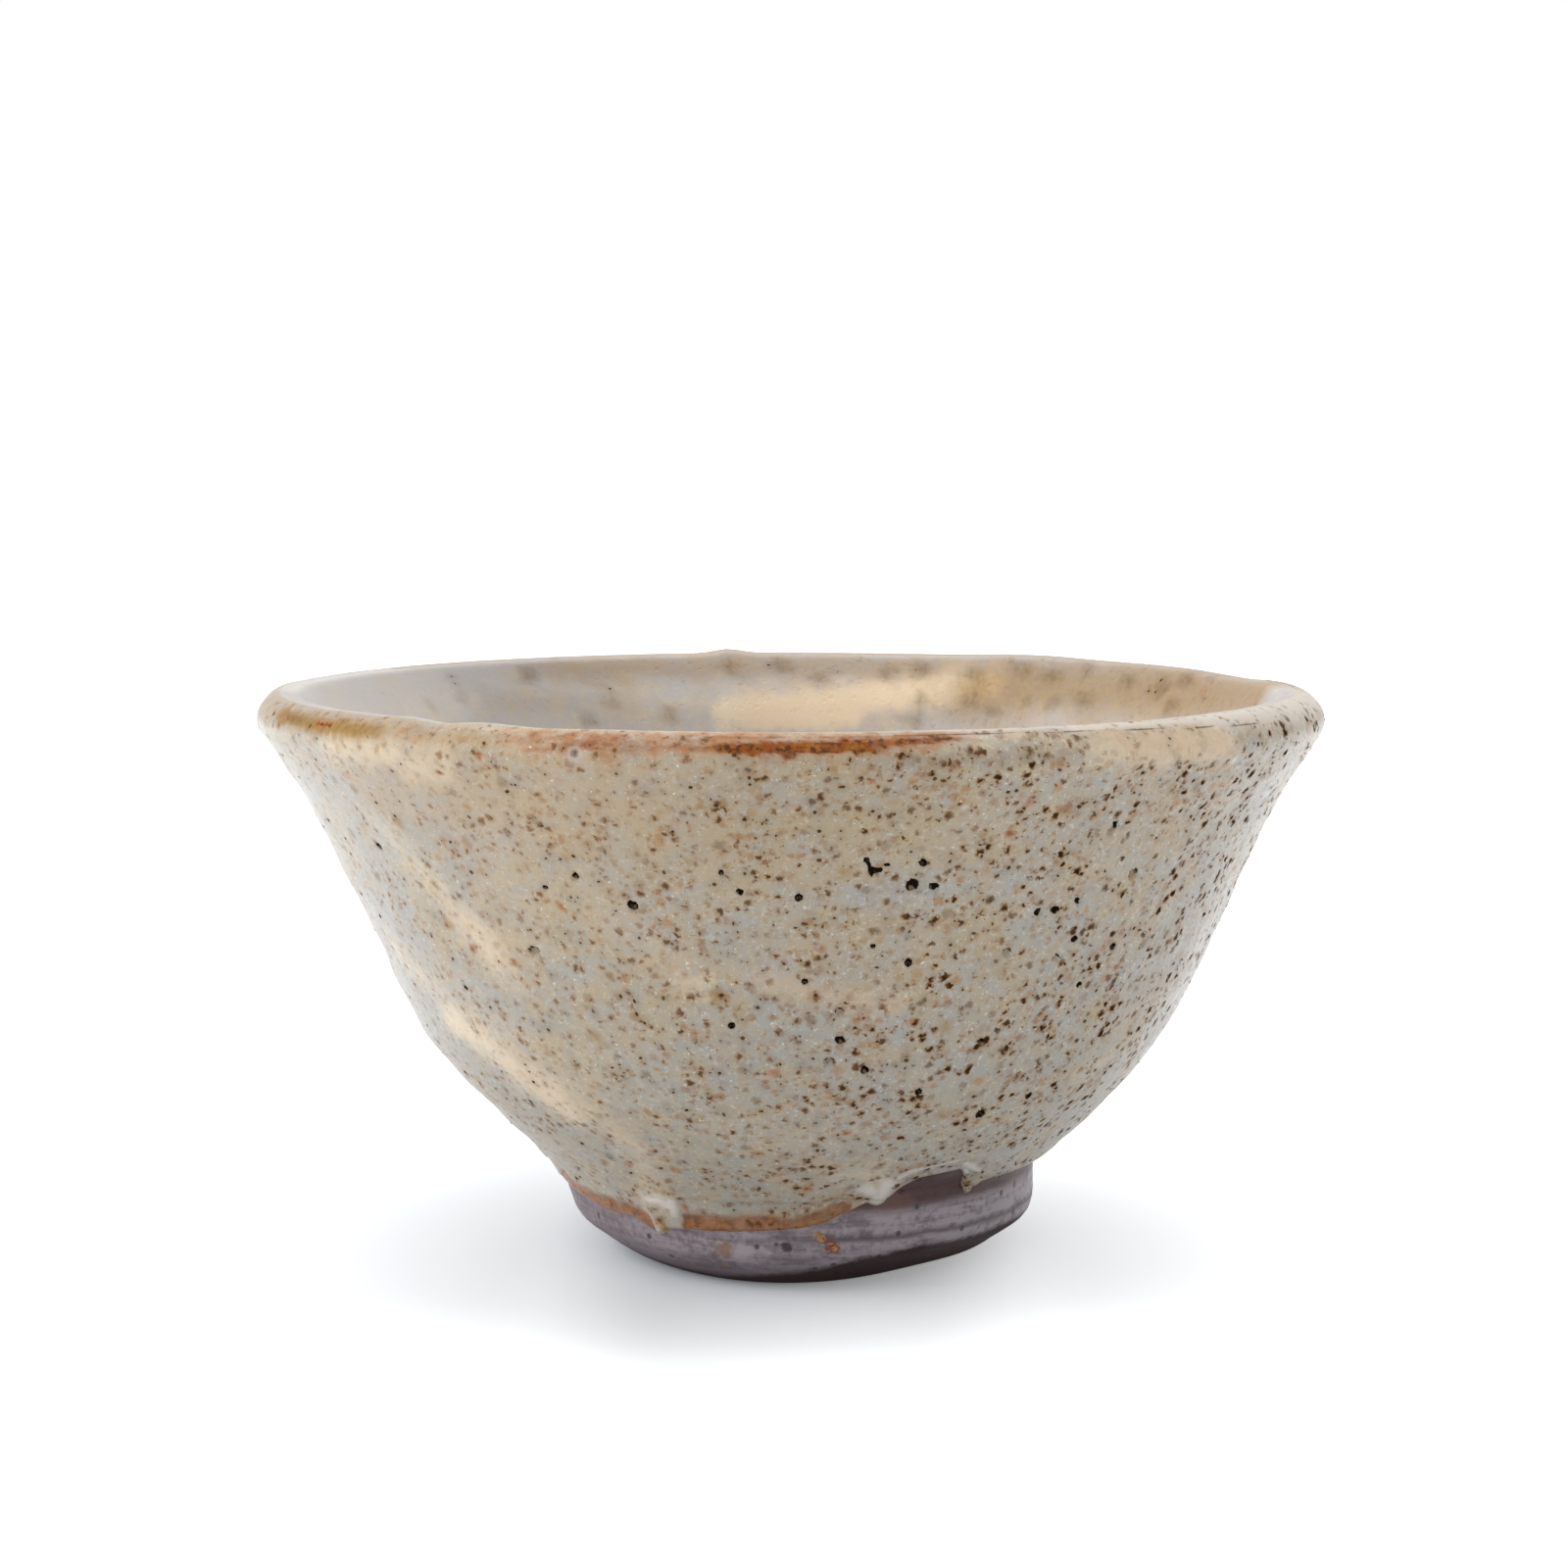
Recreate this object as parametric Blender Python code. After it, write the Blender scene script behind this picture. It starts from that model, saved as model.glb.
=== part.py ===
"""A hand-thrown stoneware teacup: its clay, its white slip and its ash glaze as separate layers.

Metres, +Z up. The cup stands on z = 0 with its axis on Z, and its photographed side faces -Y.
Azimuths run from +X towards +Y, so -90 degrees is the photographed front.
"""

import math

import bmesh
import bpy
from mathutils import Vector

# Overall sizes, over the glaze
RIM_DIAMETER = 0.0760
HEIGHT = 0.0407

# Coats that the clay carries
SLIP_THICKNESS = 0.0002
GLAZE_THICKNESS = 0.00035
LAYER_GAP = 0.0001
SLIP_SETBACK = 0.0009
SWEEP_BUILD = 0.00014
SWEEP_WIDTH = 0.0100

# Thrown wall
LIP_THICKNESS = 0.0023
LIP_FLARE = math.radians(35.0)
WALL_THICKNESS = 0.0028
FLOOR_THICKNESS = 0.0038
BELLY_DIAMETER = 0.0549
BELLY_HEIGHT = 0.0188
BELLY_LEAN = math.radians(26.6)
ROOT_LEAN = math.radians(43.5)

# Turned foot
FOOT_DIAMETER = 0.0350
FOOT_HEIGHT = 0.0070
BEVEL_HEIGHT = 0.0027
CONTACT_DIAMETER = 0.0276
RECESS_DIAMETER = 0.0208
RECESS_DEPTH = 0.0024

# Marks of the hand: a foot off the rim's centre, a rim that is low in front, a foot trimmed in on the left
FOOT_SHIFT = 0.0005
RIM_TILT = 0.00015
FOOT_TAPER = 0.0011

# Glaze line: azimuth in degrees, and bare clay left above the foot's bevel
GLAZE_LINE = (
    (-180, 0.0017), (-160, 0.0017), (-140, 0.0021), (-129, 0.0023), (-120, 0.0008),
    (-112, 0.0025), (-90, 0.0029), (-80, 0.0032), (-72, 0.0040), (-65, 0.0061),
    (-54, 0.0063), (-48, 0.0054), (-42, 0.0041), (-30, 0.0040), (0, 0.0032),
    (30, 0.0029), (60, 0.0034), (90, 0.0021), (114, 0.0035), (150, 0.0029),
)

# Brush sweeps of thicker slip: azimuth and drop below the lip where each starts and ends
OUTER_SWEEPS = ((-178, 0.012, -98, 0.024), (-186, 0.019, -122, 0.040), (8, 0.003, -40, 0.004))
INNER_SWEEPS = ((110, 0.006, 6, 0.006),)

# Facets
SEGMENTS = 60
CURVE_STEPS = 24
UPPER_ROWS = 4
LOWER_ROWS = 5
FLOOR_ROWS = 4

# Shares of the full glaze at the lip, on the roll above its lower edge, and at that edge
LIP_SHARE = 0.7
ROLL_SHARE = 1.25
EDGE_SHARE = 0.45

SLIP_TOP = LAYER_GAP + SLIP_THICKNESS
COAT = SLIP_TOP + LAYER_GAP + GLAZE_THICKNESS
LIP_COAT = LAYER_GAP + GLAZE_THICKNESS * LIP_SHARE
LIP_CENTRE = Vector((RIM_DIAMETER / 2 - (LIP_THICKNESS / 2 + COAT) * math.cos(LIP_FLARE),
                     HEIGHT - LIP_THICKNESS / 2 - LIP_COAT))
AZIMUTHS = [math.tau * step / SEGMENTS for step in range(SEGMENTS)]


class Profile:
    """A turned outline in the (radius, height) plane, read by the distance along it."""

    def __init__(self, side: int) -> None:
        """Starts an outline whose open side is on its left (1) or on its right (-1)."""
        self.side = side
        self.points: list[Vector] = []
        self.marks: list[float] = []
        self.named: dict[str, float] = {}

    def run(self, points: list[Vector], name: str) -> None:
        """Adds a stretch of the outline and names the distance where it ends."""
        for point in points:
            if self.points and (point - self.points[-1]).length < 1e-7:
                continue
            step = (point - self.points[-1]).length if self.points else 0.0
            self.marks.append((self.marks[-1] if self.marks else 0.0) + step)
            self.points.append(point)
        self.named[name] = self.marks[-1]

    def at(self, distance: float) -> Vector:
        """The outline's point at this distance, on a straight line past either end."""
        last = len(self.marks) - 2
        spot = next((i for i in range(last) if distance < self.marks[i + 1]), last)
        share = (distance - self.marks[spot]) / (self.marks[spot + 1] - self.marks[spot])
        return self.points[spot].lerp(self.points[spot + 1], share)

    def normal(self, distance: float) -> Vector:
        """The outline's direction away from the clay."""
        ahead = self.at(distance + LAYER_GAP) - self.at(distance - LAYER_GAP)
        return Vector((-ahead.y, ahead.x)).normalized() * self.side

    def between(self, start: str, end: str, rows: int) -> list[float]:
        """Even distances after one named mark and up to another."""
        first, length = self.named[start], self.named[end] - self.named[start]
        return [first + length * (row + 1) / rows for row in range(rows)]


def smooth(share: float) -> float:
    """An eased step from 0 to 1."""
    share = min(max(share, 0.0), 1.0)
    return share * share * (3 - 2 * share)


def leaning(lean: float) -> Vector:
    """The direction that climbs outwards, this far from upright."""
    return Vector((math.sin(lean), math.cos(lean)))


def facing(lean: float) -> Vector:
    """The outward direction square to a wall that leans this far."""
    return Vector((math.cos(lean), -math.sin(lean)))


def arc(centre: Vector, radius: float, start: float, end: float) -> list[Vector]:
    """Points on part of a circle."""
    angles = [start + (end - start) * i / CURVE_STEPS for i in range(CURVE_STEPS + 1)]
    return [centre + radius * Vector((math.cos(a), math.sin(a))) for a in angles]


def bezier(*handles: Vector) -> list[Vector]:
    """Points on the curve of these handles, by repeated halving of their lines."""
    points = []
    for step in range(CURVE_STEPS + 1):
        left = list(handles)
        while len(left) > 1:
            left = [a.lerp(b, step / CURVE_STEPS) for a, b in zip(left, left[1:])]
        points.append(left[0])
    return points


def wall_curve(top: Vector, top_lean: float, foot: Vector, foot_lean: float) -> list[Vector]:
    """A wall's sweep from its top down, leaning as told at both ends."""
    reach = (top - foot).length * 0.36
    return bezier(top, top - reach * leaning(top_lean), foot + reach * leaning(foot_lean), foot)


def outer_profile() -> Profile:
    """The clay's outside, from the lip's crest down the wall and foot to the middle of the recess."""
    shoulder = LIP_CENTRE + LIP_THICKNESS / 2 * facing(LIP_FLARE)
    belly = Vector((BELLY_DIAMETER / 2, BELLY_HEIGHT))
    root = Vector((FOOT_DIAMETER / 2, FOOT_HEIGHT))
    recess = Vector((RECESS_DIAMETER / 2, 0.0))
    ceiling = Vector((0.0, RECESS_DEPTH))
    profile = Profile(1)
    profile.run(arc(LIP_CENTRE, LIP_THICKNESS / 2, math.pi / 2, math.pi / 2), "crest")
    profile.run(arc(LIP_CENTRE, LIP_THICKNESS / 2, math.pi / 2, 0.0), "widest")
    profile.run(arc(LIP_CENTRE, LIP_THICKNESS / 2, 0.0, -LIP_FLARE), "shoulder")
    profile.run(wall_curve(shoulder, LIP_FLARE, belly, BELLY_LEAN), "belly")
    profile.run(wall_curve(belly, BELLY_LEAN, root, ROOT_LEAN), "root")
    profile.run([Vector((root.x, BEVEL_HEIGHT))], "bevel")
    profile.run([Vector((CONTACT_DIAMETER / 2, 0.0))], "contact")
    profile.run([recess], "recess")
    profile.run(bezier(recess, Vector((recess.x, ceiling.y)), ceiling), "middle")
    return profile


def inner_profile() -> Profile:
    """The clay's inside, from the lip's crest down the wall to the middle of the floor."""
    shoulder = LIP_CENTRE - LIP_THICKNESS / 2 * facing(LIP_FLARE)
    belly = Vector((BELLY_DIAMETER / 2, BELLY_HEIGHT)) - WALL_THICKNESS * facing(BELLY_LEAN)
    middle = Vector((0.0, RECESS_DEPTH + FLOOR_THICKNESS))
    slope = (belly.y - middle.y) * math.tan(BELLY_LEAN)
    profile = Profile(-1)
    profile.run(arc(LIP_CENTRE, LIP_THICKNESS / 2, math.pi / 2, math.pi / 2), "crest")
    profile.run(arc(LIP_CENTRE, LIP_THICKNESS / 2, math.pi / 2, math.pi - LIP_FLARE), "shoulder")
    profile.run(wall_curve(shoulder, LIP_FLARE, belly, BELLY_LEAN), "belly")
    profile.run(bezier(belly, Vector((belly.x - slope, middle.y)), middle), "middle")
    return profile


def by_hand(radius: float, height: float, azimuth: float) -> Vector:
    """Where a wheel-true point ends up on this cup."""
    rise = max(0.0, (height - FOOT_HEIGHT) / (HEIGHT - FOOT_HEIGHT)) ** 3
    low = smooth((FOOT_HEIGHT - height) / (FOOT_HEIGHT - BEVEL_HEIGHT))
    out = smooth((2 * radius - RECESS_DIAMETER) / (CONTACT_DIAMETER - RECESS_DIAMETER))
    taper = FOOT_TAPER * low * out * (0.5 - 0.5 * math.cos(azimuth))
    radius -= min(radius, taper)
    aside = FOOT_SHIFT * (1 - rise)
    tilt = RIM_TILT * rise * math.sin(azimuth)
    return Vector((radius * math.cos(azimuth) + aside, radius * math.sin(azimuth), height + tilt))


def glaze_bare(azimuth: float) -> float:
    """The bare clay between the foot's bevel and the glaze, this far round."""
    degrees = (math.degrees(azimuth) + 180) % 360 - 180
    line = GLAZE_LINE + ((GLAZE_LINE[0][0] + 360, GLAZE_LINE[0][1]),)
    spot = max(i for i in range(len(GLAZE_LINE)) if line[i][0] <= degrees)
    (start, low), (end, high) = line[spot], line[spot + 1]
    return low + (high - low) * smooth((degrees - start) / (end - start))


def sweep_build(azimuth: float, drop: float, sweeps: tuple) -> float:
    """How much thicker the slip lies where a brush sweep passes this spot."""
    most = 0.0
    for start, start_drop, end, end_drop in sweeps:
        turn = (azimuth - math.radians((start + end) / 2) + math.pi) % math.tau - math.pi
        here = Vector((turn * BELLY_DIAMETER / 2, drop - (start_drop + end_drop) / 2))
        half = Vector((math.radians(end - start) * BELLY_DIAMETER / 4, (end_drop - start_drop) / 2))
        along = min(max(here.dot(half) / half.length_squared, -1.0), 1.0)
        most = max(most, SWEEP_BUILD * smooth(1 - (here - half * along).length / (SWEEP_WIDTH / 2)))
    return most


def ring(profile: Profile, distances: list[float], offsets: list[float]) -> list[Vector]:
    """One row of points round the cup, or the one point where a row meets the axis."""
    points = []
    for azimuth, distance, offset in zip(AZIMUTHS, distances, offsets):
        spot = profile.at(distance) + profile.normal(distance) * offset
        if profile.at(distance).x < 1e-7:
            return [by_hand(0.0, spot.y, azimuth)]
        points.append(by_hand(spot.x, spot.y, azimuth))
    return points


def loft(name: str, rings: list[list[Vector]], closed: bool, colour: tuple, roughness: float) -> None:
    """Makes one object from rows of points, joined back to the first row if it is closed."""
    mesh = bpy.data.meshes.new(name)
    shell = bmesh.new()
    rows = [[shell.verts.new(point) for point in points] for points in rings]
    for row, after in zip(rows, rows[1:] + rows[:1] if closed else rows[1:]):
        for i in range(SEGMENTS):
            corners = [row[i % len(row)], row[(i + 1) % len(row)],
                       after[(i + 1) % len(after)], after[i % len(after)]]
            shell.faces.new(list(dict.fromkeys(corners)))
    bmesh.ops.triangulate(shell, faces=shell.faces, quad_method="SHORT_EDGE")
    bmesh.ops.recalc_face_normals(shell, faces=shell.faces)
    shell.to_mesh(mesh)
    shell.free()
    mesh.shade_smooth()
    mesh.set_sharp_from_angle(angle=math.radians(32))
    material = bpy.data.materials.new(name)
    material.use_nodes = True
    finish = material.node_tree.nodes["Principled BSDF"]
    finish.inputs["Base Color"].default_value = (*colour, 1.0)
    finish.inputs["Roughness"].default_value = roughness
    mesh.materials.append(material)
    bpy.context.scene.collection.objects.link(bpy.data.objects.new(name, mesh))


def coat(name: str, profile: Profile, columns: list[list[tuple]], colour: tuple, roughness: float) -> None:
    """Makes a layer from the (distance, lower face, upper face) rows of each azimuth."""
    upper, lower = [], []
    for row in zip(*columns):
        distances, undersides, tops = zip(*row)
        upper.append(ring(profile, distances, tops))
        lower.append(ring(profile, distances, undersides))
    to_axis = len(upper[-1]) == 1
    rings = upper[::-1] + lower if to_axis else upper + lower[::-1]
    loft(name, rings, not to_axis, colour, roughness)


def clay_body(outer: Profile, inner: Profile) -> None:
    """The thrown bowl and its turned foot, one piece of stoneware."""
    outside = [0.0, outer.named["widest"] / 2, outer.named["widest"], outer.named["shoulder"]]
    outside += outer.between("shoulder", "belly", UPPER_ROWS)
    outside += outer.between("belly", "root", LOWER_ROWS + 1)
    outside += outer.between("root", "bevel", 2)
    outside += [outer.named["contact"], outer.named["recess"]]
    outside += outer.between("recess", "middle", 3)
    inside = inner.between("crest", "shoulder", 2)
    inside += inner.between("shoulder", "belly", UPPER_ROWS)
    inside += inner.between("belly", "middle", FLOOR_ROWS)
    level = [0.0] * SEGMENTS
    rings = [ring(outer, [distance] * SEGMENTS, level) for distance in reversed(outside)]
    rings += [ring(inner, [distance] * SEGMENTS, level) for distance in inside]
    loft("clay_body", rings, False, (0.105, 0.072, 0.066), 0.75)


def outer_slip_rows(profile: Profile, azimuth: float) -> list[tuple]:
    """The slip's rows down the outside: distance along the clay, underside and top."""
    edge = profile.named["bevel"] - glaze_bare(azimuth) - SLIP_SETBACK
    belly = profile.named["belly"]
    drops = [profile.named["shoulder"]] + profile.between("shoulder", "belly", UPPER_ROWS)
    drops += [belly + (edge - belly) * (row + 1) / LOWER_ROWS for row in range(LOWER_ROWS)]
    return [(d, LAYER_GAP, SLIP_TOP + sweep_build(azimuth, d, OUTER_SWEEPS)) for d in drops]


def outer_glaze_rows(profile: Profile, azimuth: float) -> list[tuple]:
    """The glaze's rows from the lip's crest, over the slip, to the edge on the bare clay."""
    edge = profile.named["bevel"] - glaze_bare(azimuth)
    widest = profile.named["widest"]
    rows = [(d, LAYER_GAP, LIP_COAT) for d in (LAYER_GAP / 2, widest / 2, widest)]
    for drop, _, slip_top in outer_slip_rows(profile, azimuth):
        rows.append((drop, slip_top + LAYER_GAP, slip_top + LAYER_GAP + GLAZE_THICKNESS))
    rows.append((edge - SLIP_SETBACK / 2, LAYER_GAP, LAYER_GAP + GLAZE_THICKNESS * ROLL_SHARE))
    rows.append((edge, LAYER_GAP, LAYER_GAP + GLAZE_THICKNESS * EDGE_SHARE))
    return rows


def inner_slip_rows(profile: Profile, azimuth: float) -> list[tuple]:
    """The slip's rows down the inside to the middle of the floor."""
    drops = [profile.named["shoulder"]] + profile.between("shoulder", "belly", UPPER_ROWS)
    drops += profile.between("belly", "middle", FLOOR_ROWS)
    return [(d, LAYER_GAP, SLIP_TOP + sweep_build(azimuth, d, INNER_SWEEPS)) for d in drops]


def inner_glaze_rows(profile: Profile, azimuth: float) -> list[tuple]:
    """The liner glaze's rows from the lip's crest to the middle of the floor."""
    rows = [(d, LAYER_GAP, LIP_COAT) for d in (LAYER_GAP / 2, profile.named["shoulder"] / 2)]
    for drop, _, slip_top in inner_slip_rows(profile, azimuth):
        rows.append((drop, slip_top + LAYER_GAP, slip_top + LAYER_GAP + GLAZE_THICKNESS))
    return rows


def main() -> None:
    """Clears the scene and builds the cup's layers."""
    for leftover in list(bpy.data.objects):
        bpy.data.objects.remove(leftover, do_unlink=True)
    outer, inner = outer_profile(), inner_profile()
    clay_body(outer, inner)
    cream, celadon = (0.66, 0.57, 0.45), (0.40, 0.43, 0.39)
    coat("outer_slip", outer, [outer_slip_rows(outer, a) for a in AZIMUTHS], cream, 0.8)
    coat("inner_slip", inner, [inner_slip_rows(inner, a) for a in AZIMUTHS], cream, 0.8)
    coat("outer_glaze", outer, [outer_glaze_rows(outer, a) for a in AZIMUTHS], celadon, 0.3)
    coat("inner_glaze", inner, [inner_glaze_rows(inner, a) for a in AZIMUTHS], celadon, 0.3)


main()
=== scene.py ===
"""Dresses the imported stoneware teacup: its turned clay, its slip brushwork and its speckled ash glaze.

Metres, +Z up, in the frame of the CAD model. Azimuths run from +X towards +Y, so the photographed
front is at -90 degrees. A drop is the distance down the clay from the crest of the lip.
"""

import logging
import math
from dataclasses import dataclass, field
from enum import Enum
from functools import cached_property
from typing import Any, Sequence

import bpy
import numpy as np
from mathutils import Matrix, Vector, kdtree, noise


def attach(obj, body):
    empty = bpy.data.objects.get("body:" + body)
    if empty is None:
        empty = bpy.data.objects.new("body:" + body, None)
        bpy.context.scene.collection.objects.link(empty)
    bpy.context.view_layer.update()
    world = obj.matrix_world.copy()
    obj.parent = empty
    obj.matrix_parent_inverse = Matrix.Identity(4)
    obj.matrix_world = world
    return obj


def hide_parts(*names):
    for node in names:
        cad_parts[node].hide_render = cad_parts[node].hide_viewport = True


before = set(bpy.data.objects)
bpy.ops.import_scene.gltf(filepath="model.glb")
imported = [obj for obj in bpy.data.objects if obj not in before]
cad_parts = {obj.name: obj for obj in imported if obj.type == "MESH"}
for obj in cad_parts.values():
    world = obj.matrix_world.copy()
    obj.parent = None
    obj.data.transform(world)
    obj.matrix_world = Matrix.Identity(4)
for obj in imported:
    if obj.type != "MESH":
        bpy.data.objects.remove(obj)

LOG = logging.getLogger("teacup")
MM = 0.001
SEED_SHIFT = 17.31
Array = np.ndarray
Material = bpy.types.Material
Object = bpy.types.Object
Triple = tuple[float, float, float]
Colour = tuple[float, float, float, float]
BLACK: Colour = (0.0, 0.0, 0.0, 1.0)
WHITE: Colour = (1.0, 1.0, 1.0, 1.0)


def ink(*levels: int) -> Colour:
    """The linear colour of 8-bit display levels of red, green and blue."""
    parts = [level / 255 for level in levels]
    return (*(p / 12.92 if p <= 0.04045 else ((p + 0.055) / 1.055) ** 2.4 for p in parts), 1.0)


def eased(low: Any, high: Any, value: Any) -> Array:
    """A smooth step from 0 at low to 1 at high."""
    share = np.clip((np.asarray(value) - low) / (np.asarray(high) - low), 0.0, 1.0)
    return share * share * (3 - 2 * share)


def bell(middle: float, width: float, value: Array) -> Array:
    """A smooth bump of 1 at the middle that fades over its width."""
    return np.exp(-(((value - middle) / width) ** 2))


def lumpy(points: Array, size: float, seed: int, octaves: int = 1) -> Array:
    """Smooth random values over points.

    Args:
        points: Places in space, one row each.
        size: Width of a lump, in metres.
        seed: Picks one field of many.
        octaves: Layers of ever finer lumps.

    Returns:
        One value for each point, of about -1 to 1.
    """
    spots = (points / size + SEED_SHIFT * seed).tolist()
    return np.array([noise.fractal(spot, 1.0, 2.0, octaves) for spot in spots])


def linked(name: str, data: Any) -> Object:
    """A new object of the scene that shows this data.

    Args:
        name: The object's name.
        data: A mesh, a light or a camera.

    Returns:
        The object.
    """
    made = bpy.data.objects.new(name, data)
    bpy.context.scene.collection.objects.link(made)
    return made


@dataclass(eq=False)
class Value:
    """One output of a node, which takes part in Python maths, in a shader or a geometry tree."""

    graph: "Graph"
    node: bpy.types.Node
    output: int | str = 0

    @property
    def socket(self) -> bpy.types.NodeSocket:
        """The output itself."""
        return self.node.outputs[self.output]

    def out(self, output: int | str) -> "Value":
        """Another output of the same node."""
        return Value(self.graph, self.node, output)

    def _maths(self, operation: str, first: Any, second: Any = 0.0) -> "Value":
        """Adds one Math node."""
        return self.graph.add("ShaderNodeMath", {"operation": operation}, {0: first, 1: second})

    def __add__(self, other: Any) -> "Value":
        """Sum of two values."""
        return self._maths("ADD", self, other)

    __radd__ = __add__

    def __sub__(self, other: Any) -> "Value":
        """Difference of two values."""
        return self._maths("SUBTRACT", self, other)

    def __rsub__(self, other: Any) -> "Value":
        """Difference from a number."""
        return self._maths("SUBTRACT", other, self)

    def __mul__(self, other: Any) -> "Value":
        """Product of two values."""
        return self._maths("MULTIPLY", self, other)

    __rmul__ = __mul__

    def __truediv__(self, other: Any) -> "Value":
        """Quotient of two values."""
        return self._maths("DIVIDE", self, other)

    def __pow__(self, power: Any) -> "Value":
        """This value to a power."""
        return self._maths("POWER", self, power)

    def below(self, limit: Any) -> "Value":
        """1 where the value is under a limit, and 0 elsewhere."""
        return self._maths("LESS_THAN", self, limit)

    def most(self, other: Any) -> "Value":
        """The larger of two values."""
        return self._maths("MAXIMUM", self, other)

    def sine(self) -> "Value":
        """Sine of an angle in radians."""
        return self._maths("SINE", self)

    def cosine(self) -> "Value":
        """Cosine of an angle in radians."""
        return self._maths("COSINE", self)

    def smooth(self, low: Any, high: Any) -> "Value":
        """A smooth step from 0 at low to 1 at high, which may run downwards."""
        return self.graph.add("ShaderNodeMapRange", {"interpolation_type": "SMOOTHSTEP"},
                              {"Value": self, "From Min": low, "From Max": high})


@dataclass(eq=False)
class Graph:
    """A node tree that is written as Python expressions."""

    tree: bpy.types.NodeTree

    def add(self, kind: str, settings: dict | None = None, sockets: dict | None = None,
            output: int | str = 0) -> Value:
        """Adds any node.

        Args:
            kind: The node's type.
            settings: Its own options, set before its sockets.
            sockets: A value or a link for each named or numbered input.
            output: The output to go on with.

        Returns:
            That output.
        """
        node = self.tree.nodes.new(kind)
        for name, value in (settings or {}).items():
            setattr(node, name, value)
        for name, value in (sockets or {}).items():
            self.feed(node.inputs[name], value)
        return Value(self, node, output)

    def feed(self, socket: bpy.types.NodeSocket, value: Any) -> None:
        """Links a value to a socket, or sets a plain number or colour on it.

        Args:
            socket: A node's input.
            value: What it gets.
        """
        if isinstance(value, Value):
            self.tree.links.new(value.socket, socket)
        else:
            socket.default_value = value

    def mix(self, share: Any, first: Any, second: Any) -> Value:
        """A colour between two colours."""
        return self.add("ShaderNodeMix", {"data_type": "RGBA"}, {0: share, 6: first, 7: second}, 2)

    def vector(self, operation: str, first: Any, second: Any) -> Value:
        """A Vector Math node of two vectors."""
        return self.add("ShaderNodeVectorMath", {"operation": operation}, {0: first, 1: second})

    def parts(self, vector: Value) -> Value:
        """The node that splits a vector, with the outputs X, Y and Z."""
        return self.add("ShaderNodeSeparateXYZ", {}, {0: vector})

    def joined(self, x: Value, y: Value, z: Value) -> Value:
        """A vector of three values."""
        return self.add("ShaderNodeCombineXYZ", {}, {0: x, 1: y, 2: z})

    def millimetres(self) -> Value:
        """Object coordinates, in millimetres."""
        spot = self.add("ShaderNodeTexCoord", output="Object")
        return self.vector("MULTIPLY", spot, (1000.0, 1000.0, 1000.0))

    def clouds(self, spot: Value, size: float, detail: float = 2.0, rough: float = 0.5) -> Value:
        """Noise from 0 to 1 with lumps of this size."""
        return self.add("ShaderNodeTexNoise", {"normalize": True},
                        {"Vector": spot, "Scale": 1 / size, "Detail": detail, "Roughness": rough})

    def field(self, name: str) -> Value:
        """A number that the mesh carries on its points."""
        return self.add("ShaderNodeAttribute", {"attribute_name": name}, output="Fac")


class Finish:
    """A material whose colour and relief are worked out by nodes."""

    def __init__(self, name: str, specular: float = 0.5, coat: float = 0.0) -> None:
        """Starts a material with its even values set on the shader's own sockets.

        Args:
            name: The material's name.
            specular: Level of its gloss.
            coat: Weight of its clear coat.
        """
        self.material = bpy.data.materials.new(name)
        self.material.use_nodes = True
        self.graph = Graph(self.material.node_tree)
        self.shader = self.material.node_tree.nodes["Principled BSDF"]
        self.shader.inputs["Specular IOR Level"].default_value = specular
        self.shader.inputs["Coat Weight"].default_value = coat
        self.shader.inputs["Coat Roughness"].default_value = 0.18

    def dress(self, colour: Value, roughness: Value, height: Value, depth: float) -> Material:
        """Feeds what changes over the surface.

        Args:
            colour: Base colour.
            roughness: Roughness.
            height: Fine relief, of about 0 to 1.
            depth: How deep that relief is, in metres.

        Returns:
            The finished material.
        """
        bump = self.graph.add("ShaderNodeBump", {}, {"Strength": 1.0, "Distance": depth, "Height": height})
        self.graph.feed(self.shader.inputs["Base Color"], colour)
        self.graph.feed(self.shader.inputs["Roughness"], roughness)
        self.graph.feed(self.shader.inputs["Normal"], bump)
        return self.material

    def sink(self, share: Value, colour: Value) -> None:
        """Shows a dull second shader of this colour where a share is 1.

        Args:
            share: Where it shows, from 0 to 1.
            colour: Its colour.
        """
        tree = self.material.node_tree
        dull = self.graph.add("ShaderNodeBsdfPrincipled", {}, {"Base Color": colour, "Roughness": 0.95,
                                                               "Specular IOR Level": 0.0})
        shiny = Value(self.graph, self.shader)
        both = self.graph.add("ShaderNodeMixShader", {}, {0: share, 1: shiny, 2: dull})
        tree.links.new(both.socket, tree.nodes["Material Output"].inputs["Surface"])


class Tint(Enum):
    """What tints the glaze at a place. Each is a number that the coat carries on its points."""

    SLIP = "slip"
    PEACH = "peach"
    OCHRE = "ochre"
    RUST = "rust"
    # IRON: iron stains; it also carries painted shade round the lips and painted light on pit floors.
    IRON = "iron"
    # IVORY: pale glaze, and the painted highlight line on the lip's crest.
    IVORY = "ivory"
    FLASH = "flash"
    MARK = "mark"
    # PIT: painted shade inside the pits.
    PIT = "pit"


class Where(Enum):
    """How a feature's places are given."""

    OUTSIDE = "photo pixels on the outside"
    INSIDE = "photo pixels on the inside"
    ROUND = "azimuth in degrees and drop in millimetres"


Tints = dict[Tint, Array]


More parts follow.
